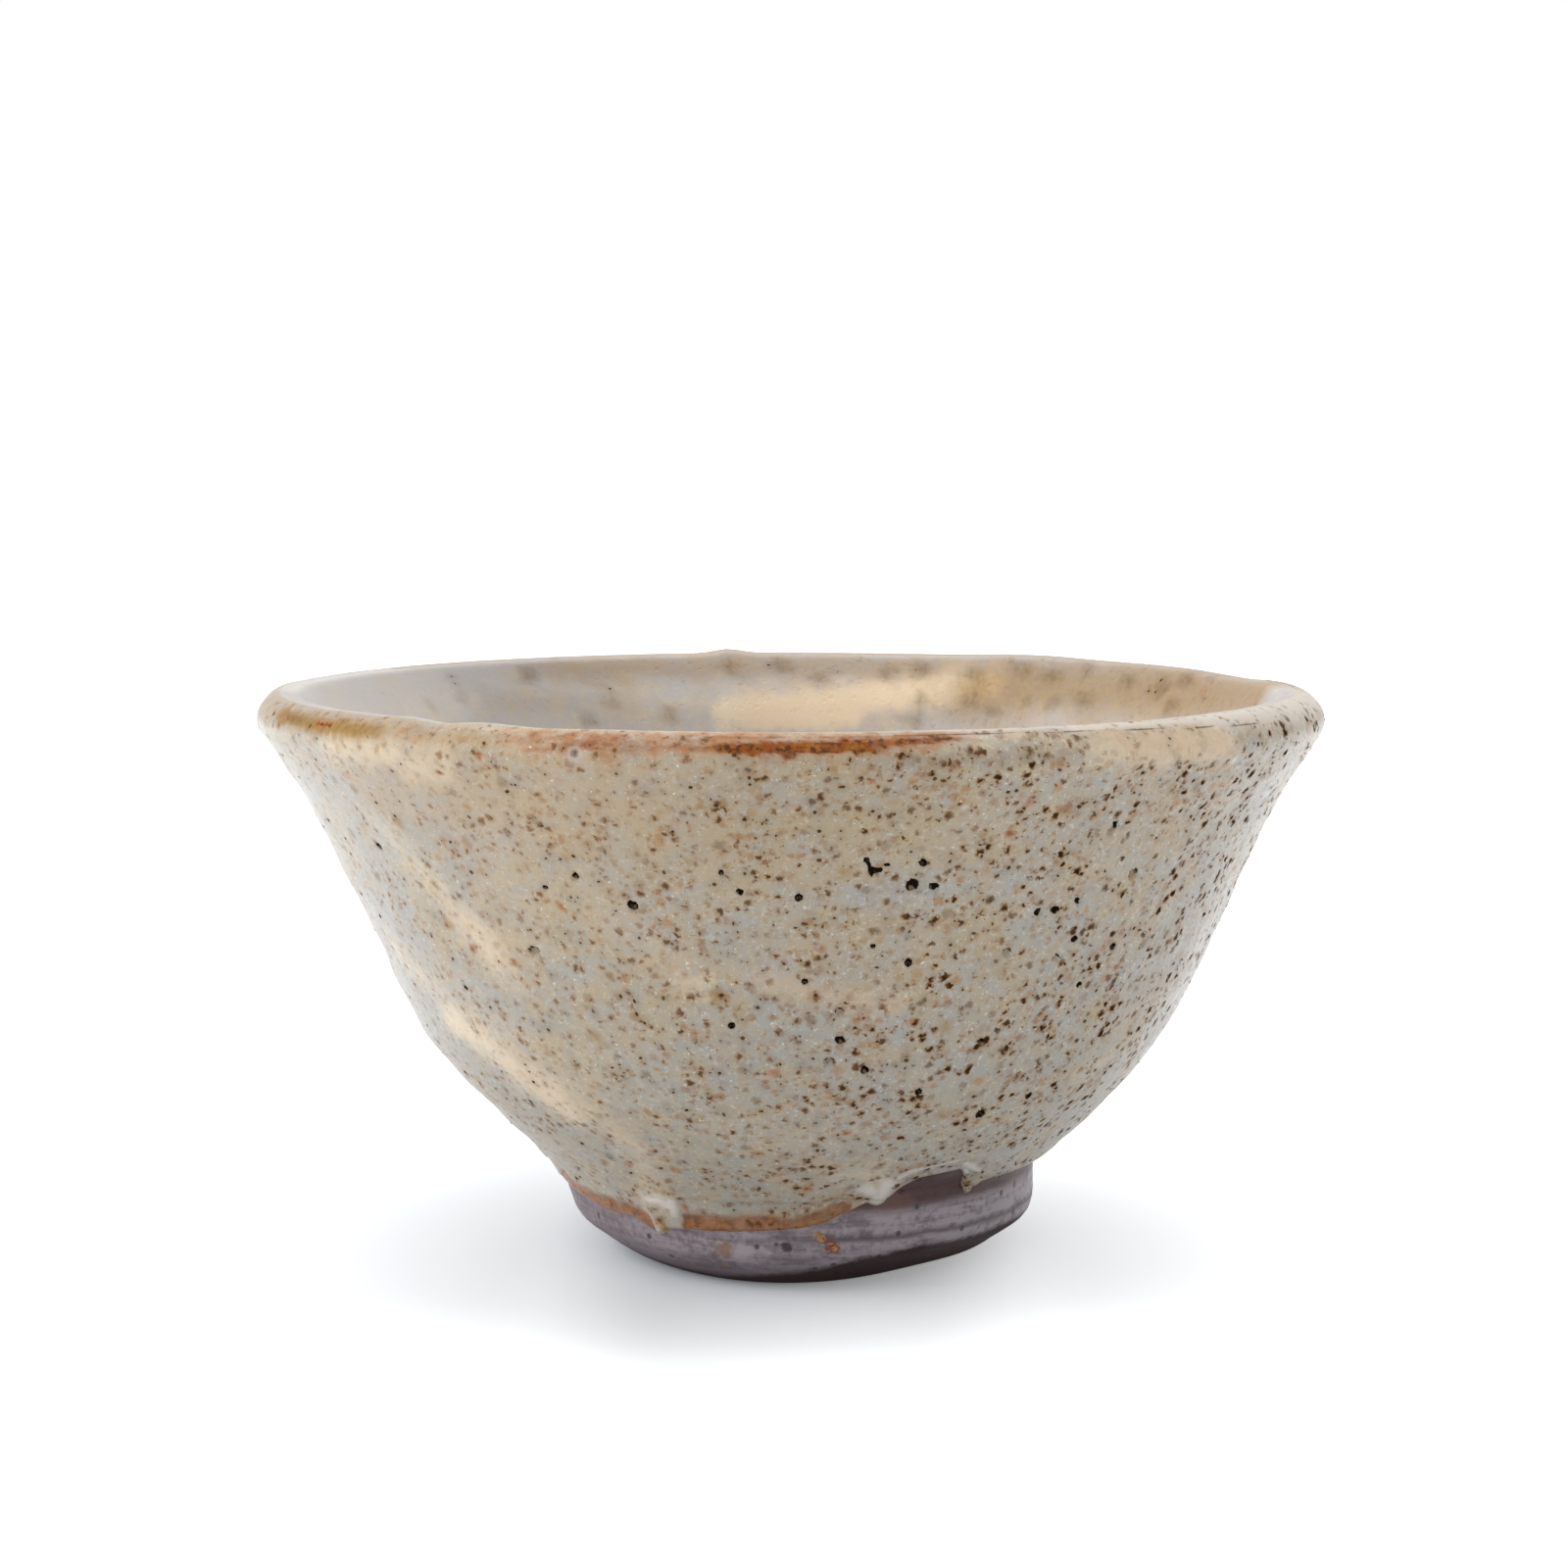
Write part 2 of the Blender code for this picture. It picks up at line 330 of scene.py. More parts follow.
@dataclass(frozen=True)
class AshGlaze:
    """Satin ash glaze: grey pools, beige veins, cream over slip, rust where it is thin, and iron specks.

    The sizes of its patterns are in millimetres.
    """

    name: str
    speckle: float = 1.0
    blotch: float = 1.0
    blotch_cell: float = 1.7
    top_warmth: float = 0.06
    grain_size: float = 0.42
    fine_size: float = 0.2
    glint_size: float = 0.24
    wisp_size: float = 1.3
    patch_size: float = 2.4
    bunch_size: float = 2.8
    cloud_size: float = 6.5
    streak_size: float = 0.7
    streak_stretch: Triple = (0.4, 0.4, 1.4)
    stir_scale: float = 2.6
    stir_reach: Triple = (0.7, 0.7, 0.7)
    speck_cell: float = 0.62
    fine_cell: float = 0.36
    right_cooling: float = 0.04
    left_cooling: float = 0.07
    relief: float = 0.00005
    cool: Colour = ink(168, 164, 156)
    warm: Colour = ink(181, 162, 132)
    cream: Colour = ink(228, 209, 180)
    peach: Colour = ink(220, 186, 150)
    ochre: Colour = ink(153, 116, 51)
    rust: Colour = ink(142, 74, 24)
    rust_dark: Colour = ink(74, 34, 12)
    amber: Colour = ink(164, 104, 48)
    blush: Colour = ink(176, 128, 96)
    flash: Colour = ink(158, 100, 52)
    flash_dark: Colour = ink(112, 66, 34)
    iron: Colour = ink(112, 88, 56)
    honey: Colour = ink(167, 117, 54)
    olive: Colour = ink(90, 70, 36)
    brick: Colour = ink(130, 84, 42)
    core: Colour = ink(56, 38, 19)
    mark: Colour = ink(84, 58, 40)
    ivory: Colour = ink(225, 216, 205)
    white: Colour = ink(230, 223, 210)
    ember: Colour = ink(170, 114, 52)
    # Pit insides: their painted shade, and the painted light on their lower floors.
    hollow: Colour = ink(30, 21, 15)
    painted_pit_light: Colour = ink(132, 108, 78)

    def cells(self, graph: Graph, spot: Value, cell: float, shift: float) -> tuple[Value, Value]:
        """Random cells: how far off a cell's middle each place is, and the cell's own numbers.

        Args:
            graph: The material's nodes.
            spot: Places in millimetres.
            cell: Width of a cell.
            shift: Picks one set of cells of many.

        Returns:
            The distance, and a node with three numbers of the cell.
        """
        moved = graph.vector("ADD", spot, (shift, shift * 1.7, shift * 0.6))
        found = graph.add("ShaderNodeTexVoronoi", {"feature": "F1"}, {"Vector": moved, "Scale": 1 / cell})
        return found * cell, graph.add("ShaderNodeSeparateColor", {}, {"Color": found.out("Color")})

    def material(self) -> Material:
        """Builds the glaze's material.

        Returns:
            The finished material.
        """
        finish = Finish(self.name, specular=0.31, coat=0.04)
        graph = finish.graph
        spot = graph.millimetres()
        tints = [graph.field(kind.value) for kind in Tint]
        brushed, peach, ochre, rust, iron, ivory, flash, mark, sunk = tints
        stir = graph.add("ShaderNodeTexNoise", {}, {"Vector": spot, "Scale": self.stir_scale, "Detail": 3.0},
                         "Color")
        shaken = graph.vector("ADD", spot, graph.vector("MULTIPLY", stir, self.stir_reach))
        grain = graph.clouds(spot, self.grain_size, 3.0, 0.6)
        wisps = graph.clouds(spot, self.wisp_size, 4.0, 0.68)
        clouds = graph.clouds(spot, self.cloud_size, 3.0, 0.55)
        place = graph.parts(spot)
        x, z = place.out("X"), place.out("Z")
        across = x.smooth(-34.0, 26.0)
        bunch = graph.clouds(shaken, self.bunch_size, 2.0).smooth(0.32, 0.62) * 0.8 + 0.2
        crowd = bunch * (across * 0.78 + 0.38)
        rag = (wisps - 0.5) * 0.6 + (grain - 0.5) * 0.35
        slip = (brushed + rag * brushed.smooth(0.0, 0.3)).smooth(0.05, 1.0)
        clean = (1 - ivory) * self.speckle
        bare = (1 - slip * 0.55 - peach * 0.5).most(0.25) * clean
        sharp = (1 - slip * 0.8 - peach * 1.5).most(0.12) * crowd * clean

        gap, lot = self.cells(graph, shaken, self.speck_cell, 0.0)
        reach = (lot.out("Green") ** 2 * 0.25 + 0.095) * (across * 0.45 + 0.8)
        core = gap.smooth(reach * 1.15, reach * 0.45) * lot.out("Red").below(0.6)
        halo = gap.smooth(reach * 2.3 + 0.13, 0.0) ** 1.6 * lot.out("Red").below(0.86) * bunch
        near, luck = self.cells(graph, shaken, self.fine_cell, 31.0)
        fine = near.smooth(0.085, 0.04) * luck.out("Red").below(0.62)
        wide, fate = self.cells(graph, shaken, self.blotch_cell, 57.0)
        span = (fate.out("Green") * 0.24 + 0.13) * self.blotch_cell
        blot = wide.smooth(span, span * 0.3) * fate.out("Red").below(0.6) * self.blotch
        dye = graph.mix(lot.out("Blue"), self.olive, self.brick)
        glow = graph.mix(lot.out("Blue"), self.honey, self.brick)
        glint = graph.clouds(shaken, self.glint_size, 3.0, 0.7).smooth(0.6, 0.66) * clean

        drift = z.smooth(20.0, 38.0) * self.top_warmth - x.smooth(0.0, 30.0) * self.right_cooling
        drift = drift - x.smooth(-15.0, -30.0) * self.left_cooling
        patches = graph.clouds(spot, self.patch_size, 4.0, 0.6)
        veins = (clouds * 0.28 + patches * 0.34 + wisps * 0.38 + drift).smooth(0.38, 0.64)
        colour = graph.mix(veins, self.cool, self.warm)
        pale = grain.smooth(0.55, 0.7) * (across * 0.25 + 0.15) * clean
        smudge = graph.mix(fate.out("Blue").smooth(0.5, 0.7), self.iron, self.ember)
        drawn = graph.vector("MULTIPLY", spot, self.streak_stretch)
        streaks = graph.clouds(drawn, self.streak_size, 4.0, 0.65)
        burn = graph.mix((wisps * 0.6 + streaks * 0.4).smooth(0.46, 0.58), self.rust, self.amber)
        burn = graph.mix((streaks * 0.5 + grain * 0.5).smooth(0.45, 0.6) * 0.95, burn, self.rust_dark)
        burn = graph.mix(rust.smooth(0.3, 0.75), self.blush, burn)
        char = (streaks + wisps - 1) * rust.smooth(0.0, 0.3)
        rusty = (rust + char).smooth(0.05, 0.8)
        toast = graph.mix((streaks * 0.6 + grain * 0.4).smooth(0.4, 0.62), self.flash, self.flash_dark)
        layers = (
            (pale.most(glint * 0.85), self.white),
            (slip * 0.95, self.cream),
            (peach * (wisps + 0.3) * 0.8, self.peach),
            (ochre * (grain * 0.6 + 0.65), self.ochre),
            (halo * (grain * 0.8 + 0.45) * bare, glow),
            (blot * (grain * 0.8 + 0.2) * (bare / self.speckle), smudge),
            # Iron stains, with the painted shade round the lips.
            (iron * (grain * 1.2 + 0.15) * 0.75, self.iron),
            (rusty * 0.97, burn),
            # Pale ivory glaze, and the painted highlight line on the crest.
            (ivory * 0.9, self.ivory),
            (flash * (wisps * 0.9 + 0.42), toast),
            (fine * 0.85 * sharp, graph.mix(luck.out("Blue"), self.olive, self.brick)),
            (core * 0.9 * bare * crowd, dye),
            (core * gap.smooth(reach * 0.9, reach * 0.4) * 0.95 * sharp, self.core),
            (mark.smooth(0.42, 0.62) * 0.85, self.mark),
        )
        for share, shade in layers:
            colour = graph.mix(share, colour, shade)

        roughness = 0.27 + clouds * 0.14 + slip * 0.06
        height = grain * 0.5 + graph.clouds(spot, self.fine_size, 2.0) * 0.2 - core * 0.35 + glint * 0.25
        # Painted shade in the pits, with painted light on their lower floors, in a dull shader that shows no
        # gloss.
        lining = graph.mix(iron.smooth(0.25, 0.95), self.hollow, self.painted_pit_light)
        pit = sunk.smooth(0.46, 0.56)
        dry = (core * bare * crowd).most(fine * sharp)
        dry = (rusty * 0.8).most(ochre.smooth(0.3, 0.9) * 0.7).most(dry)
        finish.sink(pit.most(dry), graph.mix(pit, colour, lining))
        return finish.dress(colour, roughness, height, self.relief)


@dataclass(frozen=True)
class FootClay:
    """Bare stoneware: purple-grey with a painted lilac sheen across its middle, brown above, and painted
    shade on its bevel and bottom edge.

    Heights and the sizes of its patterns are in millimetres.
    """

    # The clay in painted shade and in its painted sheen, and the painted shade on its bevel
    shaded_clay: Colour = ink(84, 69, 73)
    sheen: Colour = ink(163, 152, 157)
    bevel: Colour = ink(56, 37, 38)
    brown: Colour = ink(59, 22, 18)
    rusty: Colour = ink(88, 55, 40)
    mark: Colour = ink(48, 37, 38)
    fleck: Colour = ink(150, 96, 58)
    groove_at: float = 3.9
    brown_from: float = 5.8
    # Height of the bevel's painted shade at the left, and how much taller it is at the right.
    bevel_left: float = 0.6
    bevel_rise: float = 2.35
    grain_size: float = 0.5
    ring_size: float = 0.6
    ring_stretch: Triple = (0.16, 0.16, 1.7)
    blush_size: float = 4.0
    pit_scale: float = 0.7
    relief: float = 0.00006
    scars: tuple[tuple[Triple, float, Colour], ...] = ()

    def material(self) -> Material:
        """Builds the bare clay's material.

        Returns:
            The finished material.
        """
        finish = Finish("foot_clay", specular=0.3)
        graph = finish.graph
        spot = graph.millimetres()
        place = graph.parts(spot)
        x, height = place.out("X"), place.out("Z")
        grain = graph.clouds(spot, self.grain_size, 4.0, 0.65)
        rings = graph.clouds(graph.vector("MULTIPLY", spot, self.ring_stretch), self.ring_size, 4.0, 0.6)
        blush = graph.clouds(spot, self.blush_size, 3.0)
        level = height + (blush - 0.5) * 0.9 + (grain - 0.5) * 0.3
        worn = (rings * 0.35 + blush * 0.3 + grain * 0.35).smooth(0.38, 0.62)
        # Painted light: lighter towards the middle and right and up the foot's middle band, mixed from the
        # shaded to the sheen colour; the worn mottling is the clay's own.
        painted_light_across = x.smooth(-18.0, 2.0) * 0.68 + x.smooth(4.0, 14.0) * 0.15 + 0.55
        painted_light = height.smooth(0.2, 3.4) * (worn * 0.75 + 0.25) * painted_light_across
        colour = graph.mix(painted_light, self.shaded_clay, self.sheen)
        # Painted shade in the groove on the right.
        right = x.smooth(-8.0, 4.0)
        groove = level.smooth(self.groove_at - 0.35, self.groove_at)
        groove = groove * level.smooth(self.groove_at + 0.5, self.groove_at)
        colour = graph.mix(groove * right * 0.8, colour, self.shaded_clay)
        upper = graph.mix(blush.smooth(0.42, 0.66), self.brown, self.rusty)
        colour = graph.mix(level.smooth(self.brown_from - 0.5, self.brown_from + 0.6) * 0.92, colour, upper)
        # Painted shade on the downward bevel, taller to the right, and along the bottom edge, later shown
        # through a dull shader.
        bevel_top = x.smooth(-6.0, 10.0) * self.bevel_rise + self.bevel_left
        low = (level - bevel_top).smooth(0.35, -0.3)
        low = low.most(height.smooth(1.1, 0.0)) * 0.94
        colour = graph.mix(low, colour, self.bevel)
        # Small dents, darkened as painted shade in them; the flecks below are the clay's own.
        cells = graph.add("ShaderNodeTexVoronoi", {"feature": "F1"},
                          {"Vector": spot, "Scale": self.pit_scale})
        chance = graph.add("ShaderNodeSeparateColor", {}, {"Color": cells.out("Color")})
        pits = cells.smooth(0.2, 0.1) * chance.out("Red").below(0.5)
        colour = graph.mix(pits * 0.8, colour, self.mark)
        flecks = cells.smooth(0.2, 0.1) * (1 - chance.out("Red").below(0.9))
        colour = graph.mix(flecks * 0.8, colour, self.fleck)
        for middle, radius, shade in self.scars:
            off = graph.add("ShaderNodeVectorMath", {"operation": "DISTANCE"}, {0: spot, 1: middle}, "Value")
            ragged = off + (grain - 0.5) * radius * 1.4
            colour = graph.mix(ragged.smooth(radius, radius * 0.4) * 0.85, colour, shade)
        roughness = 0.46 + grain * 0.2 - painted_light * 0.12
        skin = finish.dress(colour, roughness, rings * 0.6 + grain * 0.5 - pits - groove * right, self.relief)
        finish.sink(low * 0.75, colour)
        return skin


@dataclass(frozen=True)
class WhiteSlip:
    """Brushed white slip, which the glaze covers."""

    cream: Colour = ink(222, 206, 180)
    thin: Colour = ink(188, 164, 134)
    hair_size: float = 0.6
    hair_stretch: Triple = (0.25, 0.25, 2.0)
    grain_size: float = 0.4
    relief: float = 0.00005

    def material(self) -> Material:
        """Builds the slip's material.

        Returns:
            The finished material.
        """
        finish = Finish("white_slip", specular=0.3)
        graph = finish.graph
        spot = graph.millimetres()
        hairs = graph.clouds(graph.vector("MULTIPLY", spot, self.hair_stretch), self.hair_size, 4.0)
        grain = graph.clouds(spot, self.grain_size, 3.0)
        colour = graph.mix(hairs.smooth(0.35, 0.65), self.thin, self.cream)
        return finish.dress(colour, 0.72 + grain * 0.2, hairs * 0.7 + grain * 0.3, self.relief)


@dataclass(frozen=True)
class Mineral:
    """A grain that melted only partly into the glaze."""

    name: str
    body: Colour
    edge: Colour
    roughness: float
    specular: float = 0.05
    grain_size: float = 0.18
    patch_size: float = 1.7
    relief: float = 0.00002

    def material(self) -> Material:
        """Builds the mineral's material.

        Returns:
            The finished material.
        """
        finish = Finish(self.name, self.specular)
        graph = finish.graph
        spot = graph.millimetres()
        grain = graph.clouds(spot, self.grain_size, 2.0)
        patch = graph.clouds(spot, self.patch_size, 2.0)
        colour = graph.mix((grain * 0.6 + patch * 0.4).smooth(0.35, 0.65), self.body, self.edge)
        return finish.dress(colour, self.roughness + grain * 0.15, grain, self.relief)


@dataclass(eq=False)
class Outline:
    """A turned outline of radius and height, open on its left (1) or its right (-1), read by distance."""

    side: int
    points: Array = field(default_factory=lambda: np.empty((0, 2)))
    marks: Array = field(default_factory=lambda: np.empty(0))
    named: dict[str, float] = field(default_factory=dict)

    def run(self, points: Array, name: str) -> None:
        """Adds a stretch of the outline and names the distance where it ends.

        Args:
            points: Radius and height of each point.
            name: What the end is called.
        """
        if len(self.points):
            points = points[np.linalg.norm(points - self.points[-1], axis=1) > 1e-9]
        self.points = np.vstack([self.points, points])
        steps = np.linalg.norm(np.diff(self.points, axis=0), axis=1)
        self.marks = np.concatenate([[0.0], np.cumsum(steps)])
        self.named[name] = float(self.marks[-1])

    def start_at(self, name: str) -> None:
        """Counts distances from one named mark.

        Args:
            name: The mark's name.
        """
        start = self.named[name]
        self.marks = self.marks - start
        self.named = {key: value - start for key, value in self.named.items()}

    def at(self, drop: Array) -> Array:
        """Points at these distances."""
        sides = [np.interp(drop, self.marks, self.points[:, axis]) for axis in (0, 1)]
        return np.stack(sides, axis=-1)

    def away(self, drop: Array, reach: float) -> Array:
        """Directions away from the clay, evened out over a reach to either side.

        Args:
            drop: Distances along the outline.
            reach: How far to either side.

        Returns:
            Directions of length 1.
        """
        ahead = self.at(np.asarray(drop) + reach) - self.at(np.asarray(drop) - reach)
        across = np.stack([-ahead[..., 1], ahead[..., 0]], axis=-1) * self.side
        return across / np.linalg.norm(across, axis=-1, keepdims=True)


@dataclass(frozen=True)
class CupForm:
    """The cup's sizes, as the CAD model has them but for an uneven bevel, and the surfaces that they give."""

    rim_diameter: float = 0.0760
    height: float = 0.0407
    lip_thickness: float = 0.0023
    lip_flare: float = math.radians(35.0)
    wall_thickness: float = 0.0028
    floor_thickness: float = 0.0038
    belly_diameter: float = 0.0549
    belly_height: float = 0.0188
    belly_lean: float = math.radians(26.6)
    root_lean: float = math.radians(43.5)
    foot_diameter: float = 0.0350
    foot_height: float = 0.0070
    bevel_height: float = 0.0027
    contact_diameter: float = 0.0276
    recess_diameter: float = 0.0208
    recess_depth: float = 0.0024
    foot_shift: float = 0.0005
    rim_tilt: float = 0.00015
    foot_taper: float = 0.0011
    chamfer_cut: float = 0.00095
    chamfer_turn: float = math.radians(-48.0)
    chamfer_narrow: int = 12
    chamfer_top: float = 0.0040
    chamfer_bottom: float = 0.0004
    spread_out: float = 0.0010
    spread_turn: float = math.radians(-100.0)
    spread_narrow: int = 8
    rim_lean_power: int = 3
    coat: float = 0.00075
    lip_coat: float = 0.000345
    outer_lip_band: float = 0.0009
    inner_lip_band: float = 0.0003
    curve_steps: int = 96
    handle_share: float = 0.36
    normal_reach: float = 0.0008

    @property
    def lip_centre(self) -> Array:
        """Middle of the lip's round section."""
        out = (self.lip_thickness / 2 + self.coat) * math.cos(self.lip_flare)
        return np.array([self.rim_diameter / 2 - out, self.height - self.lip_thickness / 2 - self.lip_coat])

    @staticmethod
    def leaning(lean: float) -> Array:
        """The direction that climbs outwards, this far from upright."""
        return np.array([math.sin(lean), math.cos(lean)])

    @staticmethod
    def facing(lean: float) -> Array:
        """The outward direction square to a wall that leans this far."""
        return np.array([math.cos(lean), -math.sin(lean)])

    def lip_arc(self, start: float, end: float) -> Array:
        """Points round the lip between two angles."""
        turn = np.linspace(start, end, self.curve_steps)
        return self.lip_centre + self.lip_thickness / 2 * np.stack([np.cos(turn), np.sin(turn)], axis=1)

    def bezier(self, *handles: Array) -> Array:
        """Points on the curve of these handles, by repeated halving of their lines.

        Args:
            handles: Radius and height of each handle.

        Returns:
            The curve's points.
        """
        share = np.linspace(0, 1, self.curve_steps)[:, None]
        left = [np.repeat(np.asarray(handle)[None], self.curve_steps, axis=0) for handle in handles]
        while len(left) > 1:
            left = [a + (b - a) * share for a, b in zip(left, left[1:])]
        return left[0]

    def wall_curve(self, top: Array, top_lean: float, foot: Array, foot_lean: float) -> Array:
        """A wall's sweep from its top down, leaning as told at both ends.

        Args:
            top, foot: Its ends.
            top_lean, foot_lean: Its lean at them, in radians.

        Returns:
            The curve's points.
        """
        reach = np.linalg.norm(top - foot) * self.handle_share
        handles = (top - reach * self.leaning(top_lean), foot + reach * self.leaning(foot_lean))
        return self.bezier(top, *handles, foot)

    @cached_property
    def outer(self) -> Outline:
        """The clay's outside, from the lip's crest down the wall and foot to the middle of the recess.

        Returns:
            The outline, with its bends named.
        """
        quarter = math.pi / 2
        shoulder = self.lip_centre + self.lip_thickness / 2 * self.facing(self.lip_flare)
        belly = np.array([self.belly_diameter / 2, self.belly_height])
        root = np.array([self.foot_diameter / 2, self.foot_height])
        recess = np.array([self.recess_diameter / 2, 0.0])
        ceiling = np.array([0.0, self.recess_depth])
        outline = Outline(1)
        outline.run(self.lip_arc(math.pi, quarter), "crest")
        outline.run(self.lip_arc(quarter, 0.0), "widest")
        outline.run(self.lip_arc(0.0, -self.lip_flare), "shoulder")
        outline.run(self.wall_curve(shoulder, self.lip_flare, belly, self.belly_lean), "belly")
        outline.run(self.wall_curve(belly, self.belly_lean, root, self.root_lean), "root")
        outline.run(np.array([[root[0], self.bevel_height]]), "bevel")
        outline.run(np.array([[self.contact_diameter / 2, 0.0]]), "contact")
        outline.run(recess[None], "recess")
        outline.run(self.bezier(recess, np.array([recess[0], ceiling[1]]), ceiling), "middle")
        outline.start_at("crest")
        return outline

    @cached_property
    def inner(self) -> Outline:
        """The clay's inside, from the lip's crest down the wall to the middle of the floor.

        Returns:
            The outline, with its bends named.
        """
        quarter = math.pi / 2
        shoulder = self.lip_centre - self.lip_thickness / 2 * self.facing(self.lip_flare)
        belly = np.array([self.belly_diameter / 2, self.belly_height])
        belly = belly - self.wall_thickness * self.facing(self.belly_lean)
        middle = np.array([0.0, self.recess_depth + self.floor_thickness])
        slope = (belly[1] - middle[1]) * math.tan(self.belly_lean)
        outline = Outline(-1)
        outline.run(self.lip_arc(0.0, quarter), "crest")
        outline.run(self.lip_arc(quarter, math.pi - self.lip_flare), "shoulder")
        outline.run(self.wall_curve(shoulder, self.lip_flare, belly, self.belly_lean), "belly")
        outline.run(self.bezier(belly, np.array([belly[0] - slope, middle[1]]), middle), "middle")
        outline.start_at("crest")
        return outline

    def rise(self, height: Array) -> Array:
        """How much of the rim's own lean reaches a height, from 0 on the foot to 1 at the lip."""
        share = (height - self.foot_height) / (self.height - self.foot_height)
        return np.maximum(0.0, share) ** self.rim_lean_power

    def trim(self, radius: Array, height: Array, azimuth: Array) -> Array:
        """How far the foot is cut in: low on the left, more in the bevel on the right, and less in front.

        Args:
            radius, height, azimuth: Places round the axis, in metres and radians.

        Returns:
            Distances in metres.
        """
        low = eased(0, 1, (self.foot_height - height) / (self.foot_height - self.bevel_height))
        out = eased(self.recess_diameter, self.contact_diameter, 2 * radius)
        right = np.maximum(0.0, np.cos(azimuth - self.chamfer_turn)) ** self.chamfer_narrow
        front = np.maximum(0.0, np.cos(azimuth - self.spread_turn)) ** self.spread_narrow
        uneven = self.chamfer_cut * right - self.spread_out * front
        uneven = uneven * eased(self.chamfer_top, self.chamfer_bottom, height)
        return np.minimum(radius, (self.foot_taper * low * (0.5 - 0.5 * np.cos(azimuth)) + uneven) * out)

    def by_hand(self, radius: Array, height: Array, azimuth: Array) -> Array:
        """Where wheel-true points end up: the foot off centre and trimmed in, and the rim low in front.

        Args:
            radius, height, azimuth: Places round the axis, in metres and radians.

        Returns:
            Points in space.
        """
        away = radius - self.trim(radius, height, azimuth)
        aside = self.foot_shift * (1 - self.rise(height))
        tilt = self.rim_tilt * self.rise(height) * np.sin(azimuth)
        return np.stack([away * np.cos(azimuth) + aside, away * np.sin(azimuth), height + tilt], axis=-1)

    def coat_at(self, outline: Outline, drop: Array) -> Array:
        """How far the coat's face stands off the clay: less over the lip than on the wall."""
        start = self.outer_lip_band if outline is self.outer else self.inner_lip_band
        return self.lip_coat + (self.coat - self.lip_coat) * eased(start, outline.named["shoulder"], drop)

    def place(self, outline: Outline, azimuth: Array, drop: Array, lift: Array) -> Array:
        """Points on the cup at these azimuths and drops, lifted off the clay.

        Args:
            outline: One side of the clay.
            azimuth, drop: Places on the clay, in radians and metres.
            lift: Distances off the clay.

        Returns:
            Points in space.
        """
        away = outline.away(drop, self.normal_reach)
        spot = outline.at(drop) + away * np.asarray(lift)[..., None]
        return self.by_hand(spot[..., 0], spot[..., 1], azimuth)


@dataclass(frozen=True)
class PhotoView:
    """The photograph's camera, and where its pixels lie on the cup."""

    pixels: int = 1600
    lens: float = 69.64
    sensor: float = 36.0
    place: Triple = (-0.00033, -0.220, 0.05687)
    tilt: float = math.radians(83.94)
    nearest: float = 0.16
    farthest: float = 0.28
    steps: int = 1200

    def camera(self) -> None:
        """Makes the camera that the scene is seen through."""
        data = bpy.data.cameras.new("photo_camera")
        data.lens = self.lens
        data.sensor_width = self.sensor
        data.clip_start = 0.01
        camera = linked("photo_camera", data)
        camera.location = self.place
        camera.rotation_euler = (self.tilt, 0.0, 0.0)
        bpy.context.scene.camera = camera

    def landing(self, form: CupForm, x: float, y: float, where: Where,
                lift: float | None = None) -> tuple[float, float]:
        """Finds the place on the coat that a pixel shows.

        Args:
            form: The cup.
            x: Pixels from the left of the photograph.
            y: Pixels from its top.
            where: On the outside or the inside.
            lift: How far the surface stands off the clay, if it isn't a whole coat.

        Returns:
            Azimuth in radians and drop in metres.
        """
        focal = self.lens / self.sensor * self.pixels
        across, up = (x - self.pixels / 2) / focal, (self.pixels / 2 - y) / focal
        ahead = np.array([0.0, math.sin(self.tilt), -math.cos(self.tilt)])
        above = np.array([0.0, math.cos(self.tilt), math.sin(self.tilt)])
        reach = np.linspace(self.nearest, self.farthest, self.steps)[:, None]
        points = np.array(self.place) + (ahead + across * np.array([1.0, 0.0, 0.0]) + up * above) * reach
        points[:, 0] -= form.foot_shift * (1 - form.rise(points[:, 2]))
        turns = np.arctan2(points[:, 1], points[:, 0])
        points[:, 2] -= form.rim_tilt * form.rise(points[:, 2]) * np.sin(turns)
        outline = form.outer if where is Where.OUTSIDE else form.inner
        end = outline.named["contact" if where is Where.OUTSIDE else "middle"]
        drops = np.linspace(0.0, end, self.steps)
        lift = form.coat if lift is None else lift
        spots = outline.at(drops) + outline.away(drops, form.normal_reach) * lift
        order = np.argsort(spots[:, 1], kind="stable")
        wall = np.interp(points[:, 2], spots[order, 1], spots[order, 0])
        gap = np.hypot(points[:, 0], points[:, 1]) - wall + form.trim(wall, points[:, 2], turns)
        inside = np.flatnonzero((gap < 0) & (points[:, 2] < form.height))
        nearest = int(np.argmin(np.where(points[:, 2] < form.height, gap, np.inf)))
        hit = inside[0 if where is Where.OUTSIDE else -1] if len(inside) else nearest
        drop = np.interp(points[hit, 2], spots[order, 1], drops[order])
        return float(turns[hit]), float(drop)


@dataclass(frozen=True)
class Stroke:
    """A tinted streak or spot on a coat, with its width in millimetres and its strength."""

    tint: Tint
    where: Where
    width: float
    strength: float
    path: tuple[tuple[float, float], ...]
    ragged: float = 0.35
    fade: float = 0.0


def strokes(tint: Tint, where: Where, *rows: tuple) -> list[Stroke]:
    """Strokes of one tint, by width, strength and path, and by ragged and fade where they differ."""
    return [Stroke(tint, where, *row) for row in rows]


def spots(tint: Tint, where: Where, width: float, strength: float, places: Sequence[tuple]) -> list[Stroke]:
    """One ragged spot of the same kind at each photo pixel."""
    return [Stroke(tint, where, width, strength, (place,), 0.5) for place in places]


